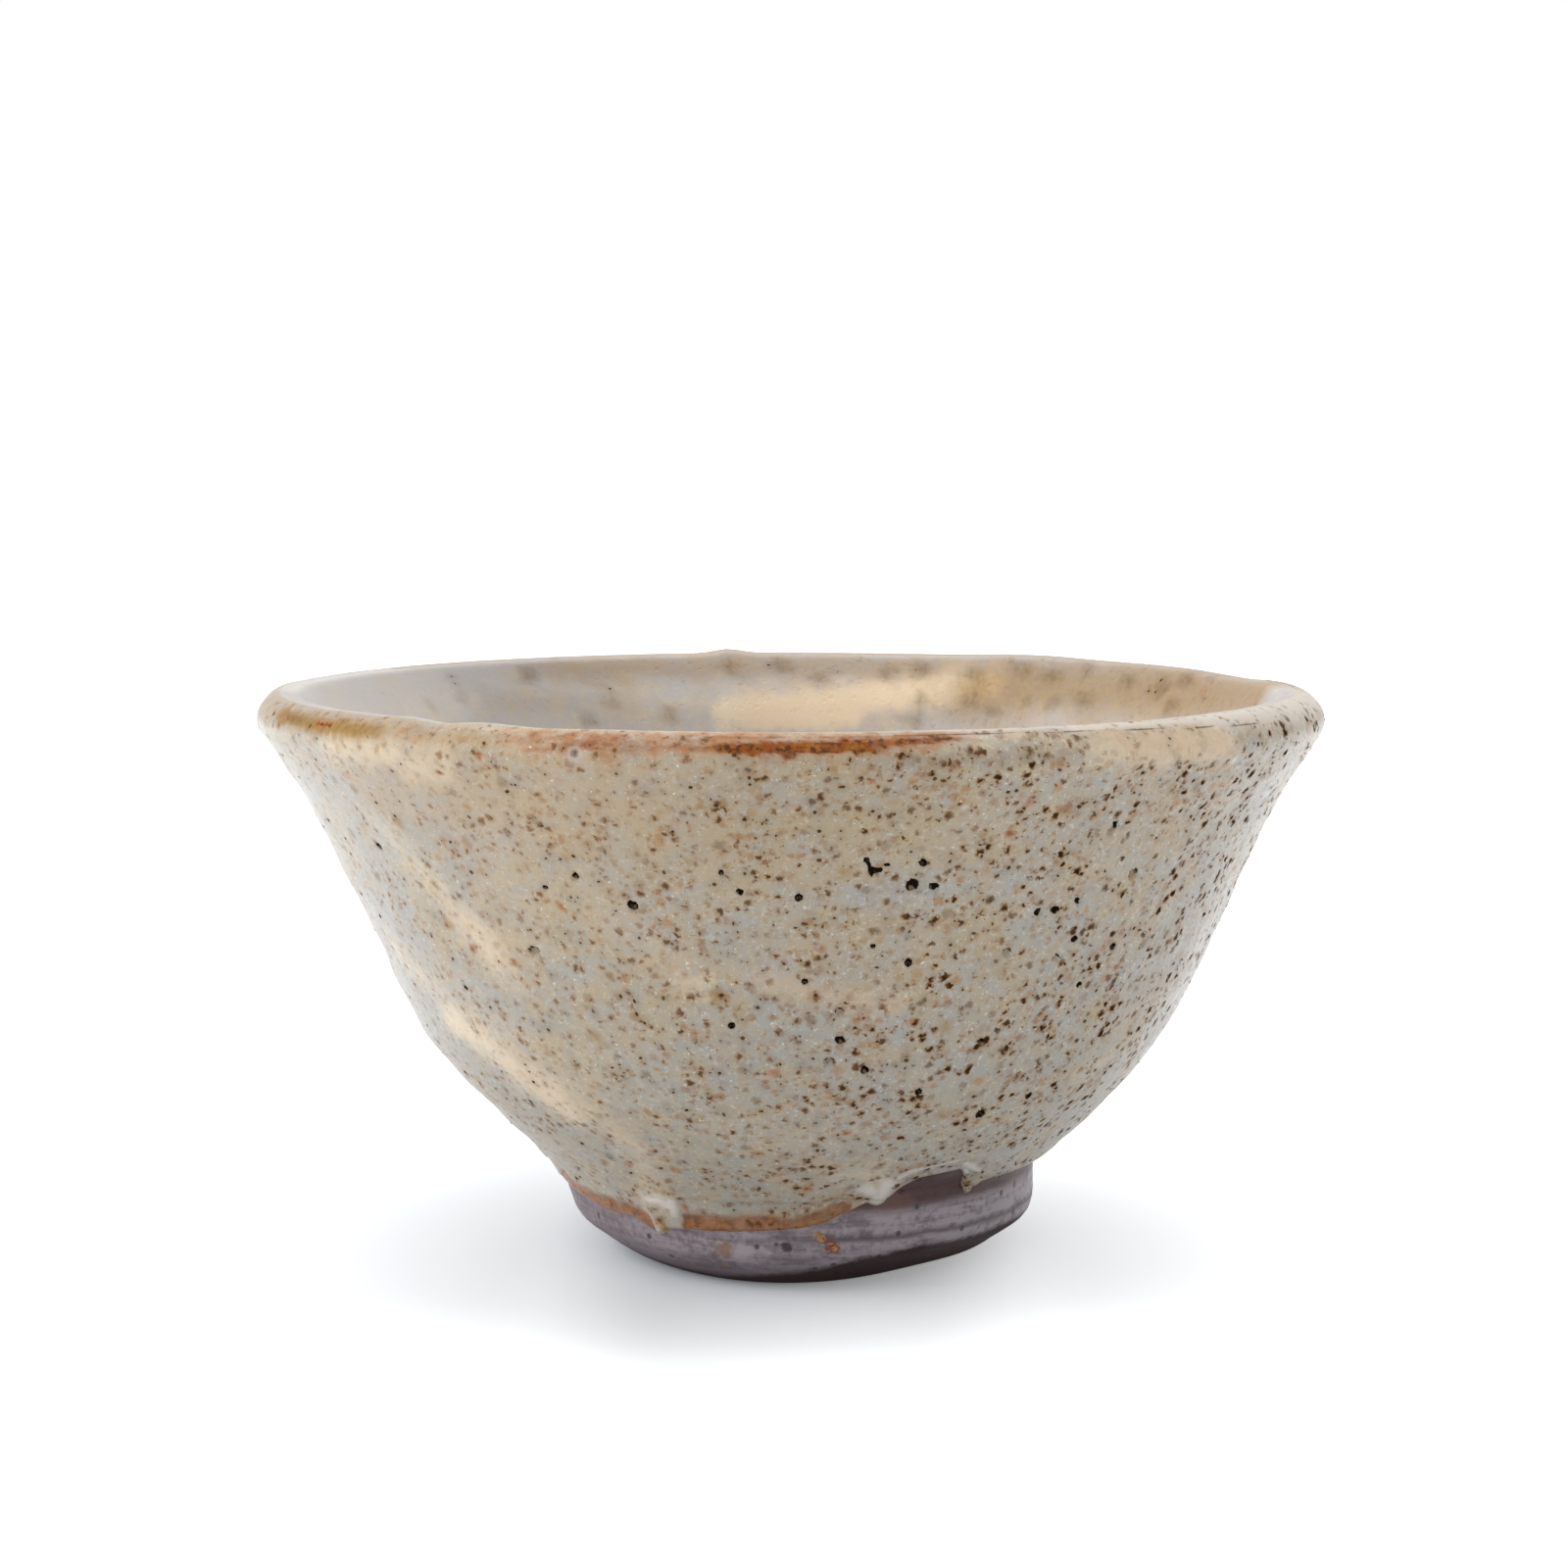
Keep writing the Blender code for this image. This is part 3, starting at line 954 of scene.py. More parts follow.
# Soft brown clouds on the inside, by pixel
CLOUDS_INSIDE = (
    (440, 719), (623, 715), (599, 735), (905, 688), (940, 684), (940, 716), (991, 715), (1045, 685),
    (1110, 684), (1186, 699), (1194, 719), (1075, 690), (540, 690), (796, 679), (837, 693), (745, 685),
    (994, 690), (1010, 728), (1108, 717), (1151, 695), (1209, 693), (682, 730), (934, 737),
)

# Brushwork and stains that the photograph shows, by pixel
BRUSHWORK_OUT = [
    *strokes(Tint.SLIP, Where.OUTSIDE, (4.4, 0.72, ((338, 762), (390, 772), (452, 788)), 0.5),
        (5.4, 0.5, ((390, 840), (430, 885), (470, 935), (512, 985))),
        (3.6, 0.75, ((436, 900), (476, 940), (506, 972), (532, 998)), 0.5, 0.3),
        (5.0, 0.5, ((405, 968), (454, 1021), (516, 1067), (572, 1105), (612, 1140), (652, 1170),
            (668, 1220))), (5.4, 0.95, ((430, 1010), (496, 1064), (556, 1110), (616, 1162)), 0.45, 0.2),
        (15.0, 0.3, ((520, 1060), (640, 1120), (740, 1150), (850, 1165))),
        (14.0, 0.2, ((500, 880), (540, 960), (590, 1040))), (2.8, 0.6, ((676, 997), (742, 1008)), 0.6, 0.3),
        (3.0, 0.8, ((1120, 766), (1180, 765), (1252, 757))),
        (2.4, 0.35, ((960, 763), (1060, 760), (1150, 757))),
        (3.6, 0.4, ((1100, 1092), (1130, 1080), (1160, 1062))),
        (3.4, 0.4, ((1190, 1015), (1212, 985), (1225, 950))), (0.9, 0.8, ((1121, 1039),))),
    *strokes(Tint.PEACH, Where.OUTSIDE, (3.2, 0.45, ((450, 912), (520, 986)), 0.5),
        (1.8, 0.6, ((775, 998), (820, 1010), (870, 1020), (912, 1026)), 0.6),
        (3.4, 0.75, ((1160, 764), (1250, 757))), (3.4, 0.4, ((610, 932), (690, 985))),
        (14.0, 0.3, ((400, 790), (490, 840), (620, 820))),
        (6.0, 0.25, ((430, 990), (520, 1070), (600, 1140)))),
    *strokes(Tint.IVORY, Where.OUTSIDE, (0.7, 0.9, ((1258, 774),))),
    *strokes(Tint.OCHRE, Where.OUTSIDE, (14.0, 0.12, ((400, 800), (500, 830), (620, 820))),
        (12.0, 0.16, ((620, 830), (760, 840), (900, 800)))),
    *strokes(Tint.IRON, Where.OUTSIDE, (12.0, 0.14, ((1260, 820), (1220, 930), (1150, 1050)))),
]
BRUSHWORK_IN = [
    *strokes(Tint.SLIP, Where.INSIDE,
        (5.0, 1.0, ((745, 728), (800, 727), (860, 719), (930, 707), (1010, 700))),
        (3.4, 1.0, ((748, 730), (800, 732), (870, 732))),
        (3.6, 0.2, ((1000, 704), (1100, 703), (1180, 703), (1250, 707)))),
    *strokes(Tint.PEACH, Where.INSIDE, (7.0, 0.5, ((780, 722), (930, 708)))),
    *strokes(Tint.OCHRE, Where.INSIDE, (9.0, 0.68, ((1000, 705), (1100, 703), (1280, 712))),
        (2.4, 0.6, ((1184, 704), (1192, 718)))),
    *strokes(Tint.IVORY, Where.INSIDE, (10.0, 0.4, ((310, 706), (430, 716)), 0.5)),
    *strokes(Tint.IRON, Where.INSIDE, (3.0, 0.3, ((500, 715), (640, 722)))),
    *spots(Tint.IRON, Where.INSIDE, 2.2, 0.95, CLOUDS_INSIDE),
]

# The lip: ochre on the left, rust in front, and ivory over a fine crack on the right
LIP_BANDS = [
    *strokes(Tint.OCHRE, Where.ROUND, (3.0, 0.3, ((-176, 0.8), (-150, 0.9), (-122, 1.0)), 0.4, 0.2),
        (1.9, 0.95, ((-161, 1.2), (-146, 1.35), (-127, 1.4)), 0.5, 0.25),
        (1.8, 0.5, ((-140, 1.4), (-114, 1.4)), 0.6, 0.3),
        (1.4, 0.6, ((60, 1.1), (30, 1.2), (5, 1.1)), 0.5, 0.2)),
    # The wide iron band darkens the left lip's roll as painted shade against its sheen; the short stroke is a
    # real dark spot.
    *strokes(Tint.IRON, Where.ROUND, (0.9, 1.0, ((-153, 1.2), (-149, 1.3)), 0.6),
        (3.4, 0.45, ((-179, 0.7), (-150, 0.7), (-118, 0.8)), 0.4, 0.2)),
    *strokes(Tint.RUST, Where.ROUND, (0.7, 0.8, ((-145, 1.3), (-142, 1.3)), 0.8),
        (3.0, 0.52, ((-122, 1.0), (-98, 0.95), (-68, 0.8)), 0.6, 0.15),
        (0.45, 0.6, ((-118, 0.75), (-98, 0.7), (-66, 0.6)), 0.6, 0.2),
        (1.6, 0.56, ((-119, 1.5), (-98, 1.35), (-72, 1.05)), 0.6, 0.15),
        (1.4, 1.0, ((-101, 1.35), (-89, 1.3), (-77, 1.1)), 0.6, 0.3),
        (1.0, 0.8, ((-85, 1.1), (-79, 1.0), (-71, 0.9)), 0.7, 0.3),
        (1.4, 0.6, ((170, 1.2), (130, 1.2), (90, 1.2), (65, 1.2)), 0.5, 0.2)),
    *strokes(Tint.PEACH, Where.ROUND, (1.4, 0.2, ((-126, 0.6), (-98, 0.6), (-60, 0.5)), 0.5, 0.15)),
    *strokes(Tint.IVORY, Where.ROUND, (0.7, 0.35, ((-78, 0.15), (-68, 0.2), (-58, 0.3))),
        (1.3, 0.5, ((-62, 0.4), (-48, 0.5), (-40, 0.6))), (2.8, 0.62, ((-44, 0.6), (-28, 0.8), (-8, 0.9)))),
    *strokes(Tint.IVORY, Where.OUTSIDE, (1.1, 0.6, ((585, 768),))),
    *strokes(Tint.MARK, Where.OUTSIDE, (1.1, 0.7, ((585, 768),), 0.1)),
    *strokes(Tint.MARK, Where.ROUND,
        (0.25, 0.7, ((-80, 0.6), (-66, 0.66), (-55, 0.85), (-43, 1.15), (-33, 1.35)), 0.55)),
]
INNER_LIP_BANDS = [
    *strokes(Tint.OCHRE, Where.ROUND, (1.2, 0.6, ((20, 0.4), (60, 0.4), (100, 0.4), (150, 0.4))),
        (3.4, 0.42, ((10, 1.9), (60, 1.8), (104, 1.8), (135, 1.6)), 0.6, 0.15)),
    # The iron ring greys the front of the inner lip: painted shade against the light on its upward face.
    *strokes(Tint.IRON, Where.ROUND,
        (2.6, 0.35, ((-180, 0.6), (-120, 0.6), (-60, 0.6), (0, 0.6)), 0.4, 0.05)),
]

# Cream glaze that gathered in drips and round the bare window above the foot
DRIPS = [
    *strokes(Tint.IVORY, Where.OUTSIDE, (1.8, 0.85, ((664, 1218), (687, 1231)), 0.4),
        (1.9, 0.95, ((887, 1212), (897, 1222), (904, 1207)), 0.3),
        (0.9, 0.8, ((985, 1190), (998, 1196)), 0.3), (0.45, 0.8, ((987, 1198), (988, 1217)), 0.2)),
]

# Unseen sides: sweeps of the same brush
BACK_BRUSHWORK = [
    *strokes(Tint.SLIP, Where.ROUND, (4.8, 0.7, ((150, 10), (122, 14), (97, 23), (80, 34)), 0.5, 0.25),
        (3.8, 0.7, ((60, 6), (40, 9), (22, 16), (12, 26))), (3.6, 0.6, ((175, 24), (150, 30), (130, 38)))),
    *strokes(Tint.PEACH, Where.ROUND, (2.8, 0.4, ((104, 12), (70, 14)))),
]

# Iron that bled into the glaze, by pixel
IRON_SPOTS = (
    (617, 869), (659, 808), (764, 787), (829, 818), (947, 824), (1021, 779), (848, 867), (1004, 860),
    (1041, 831), (1195, 806), (830, 936), (906, 948), (998, 980), (643, 1135), (682, 1131), (743, 1180),
    (636, 1098), (905, 1123), (817, 1087), (1037, 1100), (697, 925), (653, 902), (599, 860), (649, 871),
    (741, 894), (565, 995), (607, 1030), (722, 1115), (760, 1091), (513, 1095), (487, 1052), (445, 934),
    (410, 951), (401, 787), (433, 877), (853, 795), (1048, 772), (1210, 829), (1224, 825), (951, 943),
    (943, 1020), (1060, 1085), (988, 1165), (1184, 796), (1112, 817), (1054, 814), (1016, 980),
    (1144, 988), (920, 948), (904, 938), (1036, 1148), (876, 1162), (868, 1176), (1024, 1072), (832, 1146),
)

# Stains and dark grains, by pixel
RUST_SPOTS = (
    (448, 787), (487, 772), (706, 870), (838, 968), (708, 1052), (972, 846), (636, 997), (700, 995),
    (1050, 818), (1138, 988), (823, 1213), (863, 1157), (781, 1104), (573, 925), (525, 980), (483, 965),
    (741, 940), (890, 798), (972, 782), (1031, 850), (874, 1039),
)
OCHRE_SPOTS = (
    (731, 1014), (861, 890), (964, 1047), (960, 1137), (1088, 827), (609, 1056), (458, 942), (892, 1211),
    (408, 838),
)
STAINS = [
    *spots(Tint.RUST, Where.OUTSIDE, 1.0, 0.62, RUST_SPOTS),
    *spots(Tint.IRON, Where.OUTSIDE, 1.2, 0.6, IRON_SPOTS),
    *spots(Tint.MARK, Where.OUTSIDE, 0.34, 1.0, IRON_SPOTS),
    *spots(Tint.OCHRE, Where.OUTSIDE, 1.5, 0.6, OCHRE_SPOTS),
    *spots(Tint.OCHRE, Where.OUTSIDE, 1.0, 0.9, ((675, 1254), (672, 1247), (735, 1016))),
    *spots(Tint.IRON, Where.OUTSIDE, 0.6, 1.0, ((892, 1213), (674, 1243))),
    *strokes(Tint.SLIP, Where.OUTSIDE, (4.0, 0.55, ((862, 1200), (895, 1196))),
        (3.0, 0.5, ((655, 1195), (668, 1222)))),
    *strokes(Tint.IVORY, Where.OUTSIDE,
        (0.6, 0.7, ((905, 1208), (930, 1195), (956, 1191), (978, 1186)), 0.5)),
    # Painted shade along the thin arms of a forked pit.
    *strokes(Tint.PIT, Where.OUTSIDE, (0.22, 1.0, ((884, 878), (891, 889), (906, 883)), 0.3)),
]

# Burst bubbles: photo pixel, width in millimetres, and True for a shallow one
PITS = (
    (884, 878, 0.42), (891, 890, 0.78), (899, 887, 0.34), (906, 883, 0.40), (931, 904, 0.95),
    (953, 905, 0.65), (942, 881, 0.58), (815, 916, 0.58), (755, 910, 0.50), (736, 891, 0.40),
    (646, 924, 0.75), (587, 895, 0.52), (556, 906, 0.40), (546, 971, 0.85, True), (1133, 850, 0.60, True),
    (1139, 841, 0.60), (1156, 893, 0.85, True), (1050, 896, 0.45, True), (1058, 930, 0.60),
    (1076, 928, 0.65), (1099, 919, 0.48), (1096, 958, 0.58), (1027, 972, 0.75, True),
    (1077, 978, 0.52, True), (1135, 966, 0.60), (1101, 1005, 0.52), (891, 966, 0.40), (927, 983, 0.60),
    (821, 1001, 0.50), (857, 1033, 0.65, True), (857, 1061, 0.72), (846, 1084, 0.78, True),
    (882, 1092, 0.65), (937, 1114, 0.58), (1001, 1063, 0.45), (1026, 1071, 0.58), (1000, 1137, 0.80),
    (1050, 1119, 0.62), (747, 1045, 0.52), (477, 1007, 0.45), (387, 863, 0.60),
)

# The glaze's lower edge: pixels in front, and azimuth with bare clay above the bevel behind
EDGE_PIXELS = (
    (581, 1208), (619, 1234), (648, 1242), (662, 1252), (674, 1261), (684, 1254), (699, 1255), (732, 1257),
    (775, 1257), (808, 1255), (838, 1250), (859, 1240), (871, 1234), (884, 1227), (893, 1231), (900, 1229),
    (905, 1221), (916, 1210), (935, 1200), (956, 1196), (977, 1191), (983, 1198), (986, 1220), (990, 1210),
    (1004, 1202), (1027, 1196), (1050, 1184),
)
EDGE_BEHIND = (
    (0, 0.0032), (18, 0.0027), (30, 0.0029), (48, 0.0034), (60, 0.0033), (78, 0.0026), (84, 0.0013),
    (90, 0.0021), (114, 0.0035), (140, 0.0026), (150, 0.0029), (172, 0.0020),
)

# Lumps of the lip: azimuth in degrees, height in millimetres and half width in degrees
RIM_LUMPS = (
    (-133, 0.08, 2.4), (-127, -0.12, 2.2), (-122, 0.10, 2.6), (-114, -0.07, 4.0), (98, 0.34, 2.4),
    (56, 0.20, 9.0), (18, -0.24, 10.0), (179, 0.10, 6.0),
)

# Sweeps of thicker slip under the glaze, as the CAD model has them: azimuth and drop at both ends
OUTER_SWEEPS = ((-178, 0.012, -98, 0.024), (-186, 0.019, -122, 0.040), (8, 0.003, -40, 0.004))
INNER_SWEEPS = ((110, 0.006, 6, 0.006),)


@dataclass(frozen=True)
class GrainKind:
    """Grains of one kind: how many are tried, their least and largest radius, and the draw's seed."""

    name: str
    count: int
    sizes: tuple[float, float]
    seed: int


IRON_OUTSIDE = GrainKind("iron_outside", 4200, (0.00005, 0.00018), 21)
QUARTZ_OUTSIDE = GrainKind("quartz_outside", 4200, (0.00004, 0.00009), 22)
IRON_INSIDE = GrainKind("iron_inside", 260, (0.00006, 0.00016), 23)


@dataclass
class Speckle:
    """Grains that stand on a coat: where they are, which way is out, and how large they are."""

    points: Array
    outward: Array
    radius: Array


@dataclass
class CoatGrid:
    """The rows and columns of points that one coat is modelled on, drawn in round its pits."""

    outline: Outline
    azimuth: Array
    drop: Array
    coat: Array
    points: Array
    hollows: list


@dataclass
class GlazeCoat:
    """The glaze on both sides of the cup, as closed shells with pits, sweeps, drips and stains."""

    form: CupForm
    view: PhotoView
    glaze: float = 0.00035
    front_columns: int = 420
    back_columns: int = 130
    spacing_steps: int = 4000
    lip_step: float = 0.00016
    wall_step: float = 0.00031
    edge_step: float = 0.00014
    inner_step: float = 0.00075
    under_rows: int = 22
    sharp_from: float = math.radians(70)
    sweep_build: float = 0.00014
    sweep_width: float = 0.0100
    sweep_end: tuple[float, float] = (0.0009, 0.0030)
    soft_width: float = 1.5
    least_fray: float = 0.0006
    fine_fray: float = 0.0005
    lump_top: float = 0.0006
    lump_bottom: float = 0.007
    ripple: float = 0.00006
    ripple_pitch: float = 0.0042
    ripple_sway: float = 0.020
    ripple_patch: float = 0.015
    swell: float = 0.00010
    swell_size: float = 0.0100
    dimple: float = 0.00005
    dimple_size: float = 0.0028
    grit: float = 0.000018
    grit_size: float = 0.0009
    slip_ridge: float = 0.00007
    ridge_size: float = 0.0012
    rust_thin: float = 0.00005
    calm_lip: float = 0.0016
    pit_depth: float = 0.00034
    pit_floor: float = 0.00003
    pit_rim: float = 0.00004
    pit_rim_at: tuple[float, float] = (1.25, 0.3)
    painted_pit_light_at: tuple[float, float] = (0.55, 0.22)
    pit_steep: float = 0.95
    pit_shallow: float = 0.6
    pit_shown: float = 0.3
    pit_reach: float = 0.0020
    pit_pull: float = 0.8
    pit_sizes: tuple[float, float] = (0.18, 0.38)
    pit_drops: tuple[float, float] = (0.003, 0.036)
    inner_pit_drops: tuple[float, float] = (0.003, 0.034)
    shallow_share: float = 0.3
    bleed: float = 0.6
    bleed_spread: float = 2.1
    bleed_reach: float = 0.00012
    cluster_size: float = 0.0045
    few_from: float = -0.030
    few_left: float = 0.4
    slip_hides: float = 0.45
    film: float = 0.00020
    film_tall: float = 0.00105
    film_front: tuple[float, float, float, float] = (-172, -160, -81, -76)
    film_behind: tuple[float, float, float, float] = (60, 75, 140, 160)
    film_wander: float = 0.35
    film_lump: float = 0.0030
    film_start: float = 0.0003
    flash_from: float = 0.0004
    flash_fade: tuple[float, float] = (-0.0001, 0.0005)
    edge_thick: float = 0.00040
    edge_swell: tuple[float, float] = (0.0003, 0.0026)
    edge_tuck: float = 0.00006
    drip_build: float = 0.00013
    fillet: float = 0.00018
    fillet_reach: float = 0.0014
    wash: float = 0.22
    wash_size: float = 0.006
    # Strength and width of the painted highlight line on the lip's crest.
    crest: float = 0.12
    crest_highlight_width: float = 0.0002
    lip_rows: float = 0.003
    edge_rows: float = 0.0016
    inner_lip_rows: float = 0.0022
    floor_rows: float = 0.001
    floor_pole: float = 0.0006
    bare_lip: float = 0.0012
    bare_edge: float = 0.0016
    inner_bare_lip: float = 0.0015
    least_glaze: float = 0.00005
    back_pits: int = 46
    inner_pits: int = 10
    slip_start: float = 0.0012
    slip_rows: int = 26
    slip_step: int = 3
    slip_gap: float = 0.00003
    slip_above_edge: float = 0.0026
    slip_floor_gap: float = 0.002
    seed: int = 11
    specks: dict[str, Speckle] = field(default_factory=dict)

    @cached_property
    def azimuths(self) -> Array:
        """The columns of both coats, closer together in front, from -180 degrees on.

        Returns:
            Azimuths in radians.
        """
        front = np.linspace(-math.pi, 0.0, self.front_columns, endpoint=False)
        back = np.linspace(0.0, math.pi, self.back_columns, endpoint=False)
        return np.concatenate([front, back])

    @cached_property
    def edge_drops(self) -> Array:
        """The drop of the glaze's lower edge at each column.

        Returns:
            One drop for each column.
        """
        bevel = self.form.outer.named["bevel"]
        line = [self.view.landing(self.form, x, y, Where.OUTSIDE, self.film / 2) for x, y in EDGE_PIXELS]
        line += [(math.radians(turn), bevel - bare) for turn, bare in EDGE_BEHIND]
        turns, drops = np.array(sorted(line)).T
        drops = np.interp(self.azimuths, turns, drops, period=math.tau)
        return (np.roll(drops, 1) + 2 * drops + np.roll(drops, -1)) / 4

    def settle(self, stroke: Stroke, outline: Outline) -> Array:
        """A stroke's path as points on the coat.

        Args:
            stroke: The stroke.
            outline: The side of the clay.

        Returns:
            Points in space.
        """
        if stroke.where is Where.ROUND:
            ends = np.array([(math.radians(turn), drop * MM) for turn, drop in stroke.path])
        else:
            ends = np.array([self.view.landing(self.form, x, y, stroke.where) for x, y in stroke.path])
        ends[:, 0] = np.unwrap(ends[:, 0])
        share = np.linspace(0, len(ends) - 1, 6 * len(ends) - 5)
        path = np.stack([np.interp(share, range(len(ends)), ends[:, axis]) for axis in (0, 1)], axis=1)
        return self.form.place(outline, path[:, 0], path[:, 1], self.form.coat_at(outline, path[:, 1]))

    def paint(self, fields: Tints, points: Array, stroke: Stroke, path: Array) -> None:
        """Lays one stroke on the fields of a coat.

        Args:
            fields: Numbers to add to, one array for each tint.
            points: The coat's points.
            stroke: What is laid.
            path: Where it runs, as points in space.
        """
        half = stroke.width * MM / 2
        middle = path.mean(axis=0)
        reach = np.linalg.norm(path - middle, axis=1).max() + 2.6 * half
        near = np.flatnonzero(np.linalg.norm(points - middle, axis=1) < reach)
        if not len(near):
            return
        spots_near = points[near]
        gap, along = np.full(len(near), np.inf), np.zeros(len(near))
        for index, (start, end) in enumerate(zip(path, path[1:] if len(path) > 1 else path)):
            step = end - start
            share = np.clip((spots_near - start) @ step / max(step @ step, 1e-12), 0, 1)
            off = np.linalg.norm(spots_near - start - share[:, None] * step, axis=1)
            along = np.where(off < gap, (index + share) / max(1, len(path) - 1), along)
            gap = np.minimum(gap, off)
        rough = lumpy(spots_near, max(half, self.least_fray), 3, 3)
        rough = rough + 0.5 * lumpy(spots_near, self.fine_fray, 5)
        share = gap / half * (1 + stroke.ragged * rough)
        brushed = stroke.tint in (Tint.SLIP, Tint.PEACH) and stroke.where is not Where.INSIDE
        soft = brushed and stroke.width > self.soft_width
        crisp = stroke.tint in (Tint.PIT, Tint.MARK)
        amount = 1 - share / 2 if crisp else 1 - eased(*(-0.3, 1.6) if soft else (0.1, 1.2), share)
        if stroke.fade:
            amount = amount * eased(0, stroke.fade, along) * eased(0, stroke.fade, 1 - along)
        fields[stroke.tint][near] = np.maximum(fields[stroke.tint][near], amount * stroke.strength)

    def sweeps(self, azimuth: Array, drop: Array, sweeps: Sequence[tuple]) -> Array:
        """How much thicker the slip lies where brush sweeps pass.

        Args:
            azimuth, drop: Places on the clay, in radians and metres.
            sweeps: Azimuth and drop at both ends of each sweep.

        Returns:
            Extra thickness in metres.
        """
        most = np.zeros_like(azimuth)
        for start, start_drop, end, end_drop in sweeps:
            turn = (azimuth - math.radians((start + end) / 2) + math.pi) % math.tau - math.pi
            across = turn * self.form.belly_diameter / 2
            down = drop - (start_drop + end_drop) / 2
            half = (math.radians(end - start) * self.form.belly_diameter / 4, (end_drop - start_drop) / 2)
            along = np.clip((across * half[0] + down * half[1]) / (half[0] ** 2 + half[1] ** 2), -1, 1)
            gap = np.hypot(across - half[0] * along, down - half[1] * along)
            most = np.maximum(most, self.sweep_build * eased(0, 1, 1 - gap / (self.sweep_width / 2)))
        return most

    def lumped(self, points: Array, azimuth: Array) -> Array:
        """Points with the lip's lumps added.

        Args:
            points: Points of a grid.
            azimuth: Their azimuths.

        Returns:
            The moved points.
        """
        total = np.zeros_like(azimuth)
        for turn, height, half in RIM_LUMPS:
            gap = (np.degrees(azimuth) - turn + 180) % 360 - 180
            total += height * MM * np.exp(-(gap / half) ** 2)
        top = self.form.height
        lifted = points.copy()
        lifted[..., 2] += total * eased(top - self.lump_bottom, top - self.lump_top, points[..., 2])
        return lifted

    def spacing(self, total: float, lip: float, edge: float, steps: Triple) -> Array:
        """Shares of a coat's length for its rows, close at the lip and at the edge.

        Args:
            total: The coat's length.
            lip: Length at the lip with close rows.
            edge: Length at the edge with close rows.
            steps: Row spacing at the lip, on the wall and at the edge.

        Returns:
            Shares from 0 to 1.
        """
        fine = np.linspace(0, total, self.spacing_steps)
        gap = steps[1] + (steps[0] - steps[1]) * (1 - eased(lip, lip * 2, fine))
        gap += (steps[2] - steps[1]) * eased(total - edge * 2, total - edge, fine)
        count = np.concatenate([[0], np.cumsum(np.diff(fine) / ((gap[1:] + gap[:-1]) / 2))])
        rows = int(math.ceil(count[-1]))
        return np.interp(np.linspace(0, count[-1], rows + 1), count, fine) / total

    def pits(self, outside: bool) -> list[tuple[float, float, float, bool]]:
        """Azimuth, drop and radius of every pit on one side, and whether it is shallow.

        Args:
            outside: True for the outer coat.

        Returns:
            One row for each pit.
        """
        draw = np.random.default_rng(self.seed if outside else self.seed + 1)
        found = []
        if outside:
            for x, y, width, *shallow in PITS:
                turn, drop = self.view.landing(self.form, x, y, Where.OUTSIDE)
                found.append((turn, drop, width * MM / 2, bool(shallow)))
        span = (0.0, math.pi) if outside else (-math.pi, math.pi)
        drops = self.pit_drops if outside else self.inner_pit_drops
        for _ in range(self.back_pits if outside else self.inner_pits):
            spot = (draw.uniform(*span), draw.uniform(*drops), draw.uniform(*self.pit_sizes) * MM)
            found.append((*spot, bool(draw.random() < self.shallow_share)))
        return found

    def gather(self, azimuth: Array, drop: Array, outline: Outline, pits: list) -> list:
        """Draws the grid's points in round each pit, so that its hollow has enough of them.

        Args:
            azimuth: Azimuths of the grid, changed in place.
            drop: Drops of the grid, changed in place.
            outline: The outline that the drops run down.
            pits: Azimuth, drop and radius of each pit, and whether it is shallow.

        Returns:
            For each pit, which points it holds, how far out and how far down they are, in shares of its
            radius, that radius, and whether it is shallow.
        """
        middles = np.array([(turn * outline.at(np.array(down))[0], down) for turn, down, *_ in pits])
        hollows = []
        for (turn, down, radius, shallow), middle in zip(pits, middles):
            others = np.linalg.norm(middles - middle, axis=1)
            reach = min(self.pit_reach, 0.5 * others[others > 1e-9].min())
            reach = max(reach, radius * 1.25)
            round_at = float(outline.at(np.array(down))[0])
            across = ((azimuth - turn + math.pi) % math.tau - math.pi) * round_at
            gap = np.hypot(across, drop - down)
            near = np.flatnonzero((gap < reach).ravel())
            pull = (gap.ravel()[near] / reach) ** self.pit_pull
            azimuth.ravel()[near] = turn + across.ravel()[near] * pull / round_at
            drop.ravel()[near] = down + (drop.ravel()[near] - down) * pull
            angle = np.arctan2((drop.ravel()[near] - down), across.ravel()[near])
            uneven = 1 + 0.08 * np.sin(2 * angle + turn * 90) + 0.05 * np.sin(3 * angle + down * 9000)
            under = (drop.ravel()[near] - down) / radius
            hollows.append((near, gap.ravel()[near] * pull / (radius * uneven), under, radius, shallow))
        return hollows

    def sprinkle(self, kind: GrainKind, points: Array, normals: Array, shy: Array) -> Speckle:
        """Picks seeded places for grains on a coat's points.

        Args:
            kind: The grains.
            points: The coat's points.
            normals: Outward directions there.
            shy: Share of the grains that each point turns away.

        Returns:
            The grains in their places.
        """
        draw = np.random.default_rng(kind.seed)
        weight = np.hypot(points[:, 0], points[:, 1])
        sparse = self.front_columns / self.back_columns
        weight = weight * np.where(np.arctan2(points[:, 1], points[:, 0]) > 0, sparse, 1.0)
        picked = draw.choice(len(points), size=kind.count, replace=False, p=weight / weight.sum())
        cluster = lumpy(points[picked], self.cluster_size, kind.seed, 2)
        chance = np.clip(0.55 + 0.9 * cluster, 0.08, 1) * (1 - shy[picked])
        kept = picked[draw.random(kind.count) < chance]
        low, high = kind.sizes
        radius = low + (high - low) * draw.random(len(kept)) ** 3
        self.specks[kind.name] = Speckle(points[kept], normals[kept], radius)
        return self.specks[kind.name]

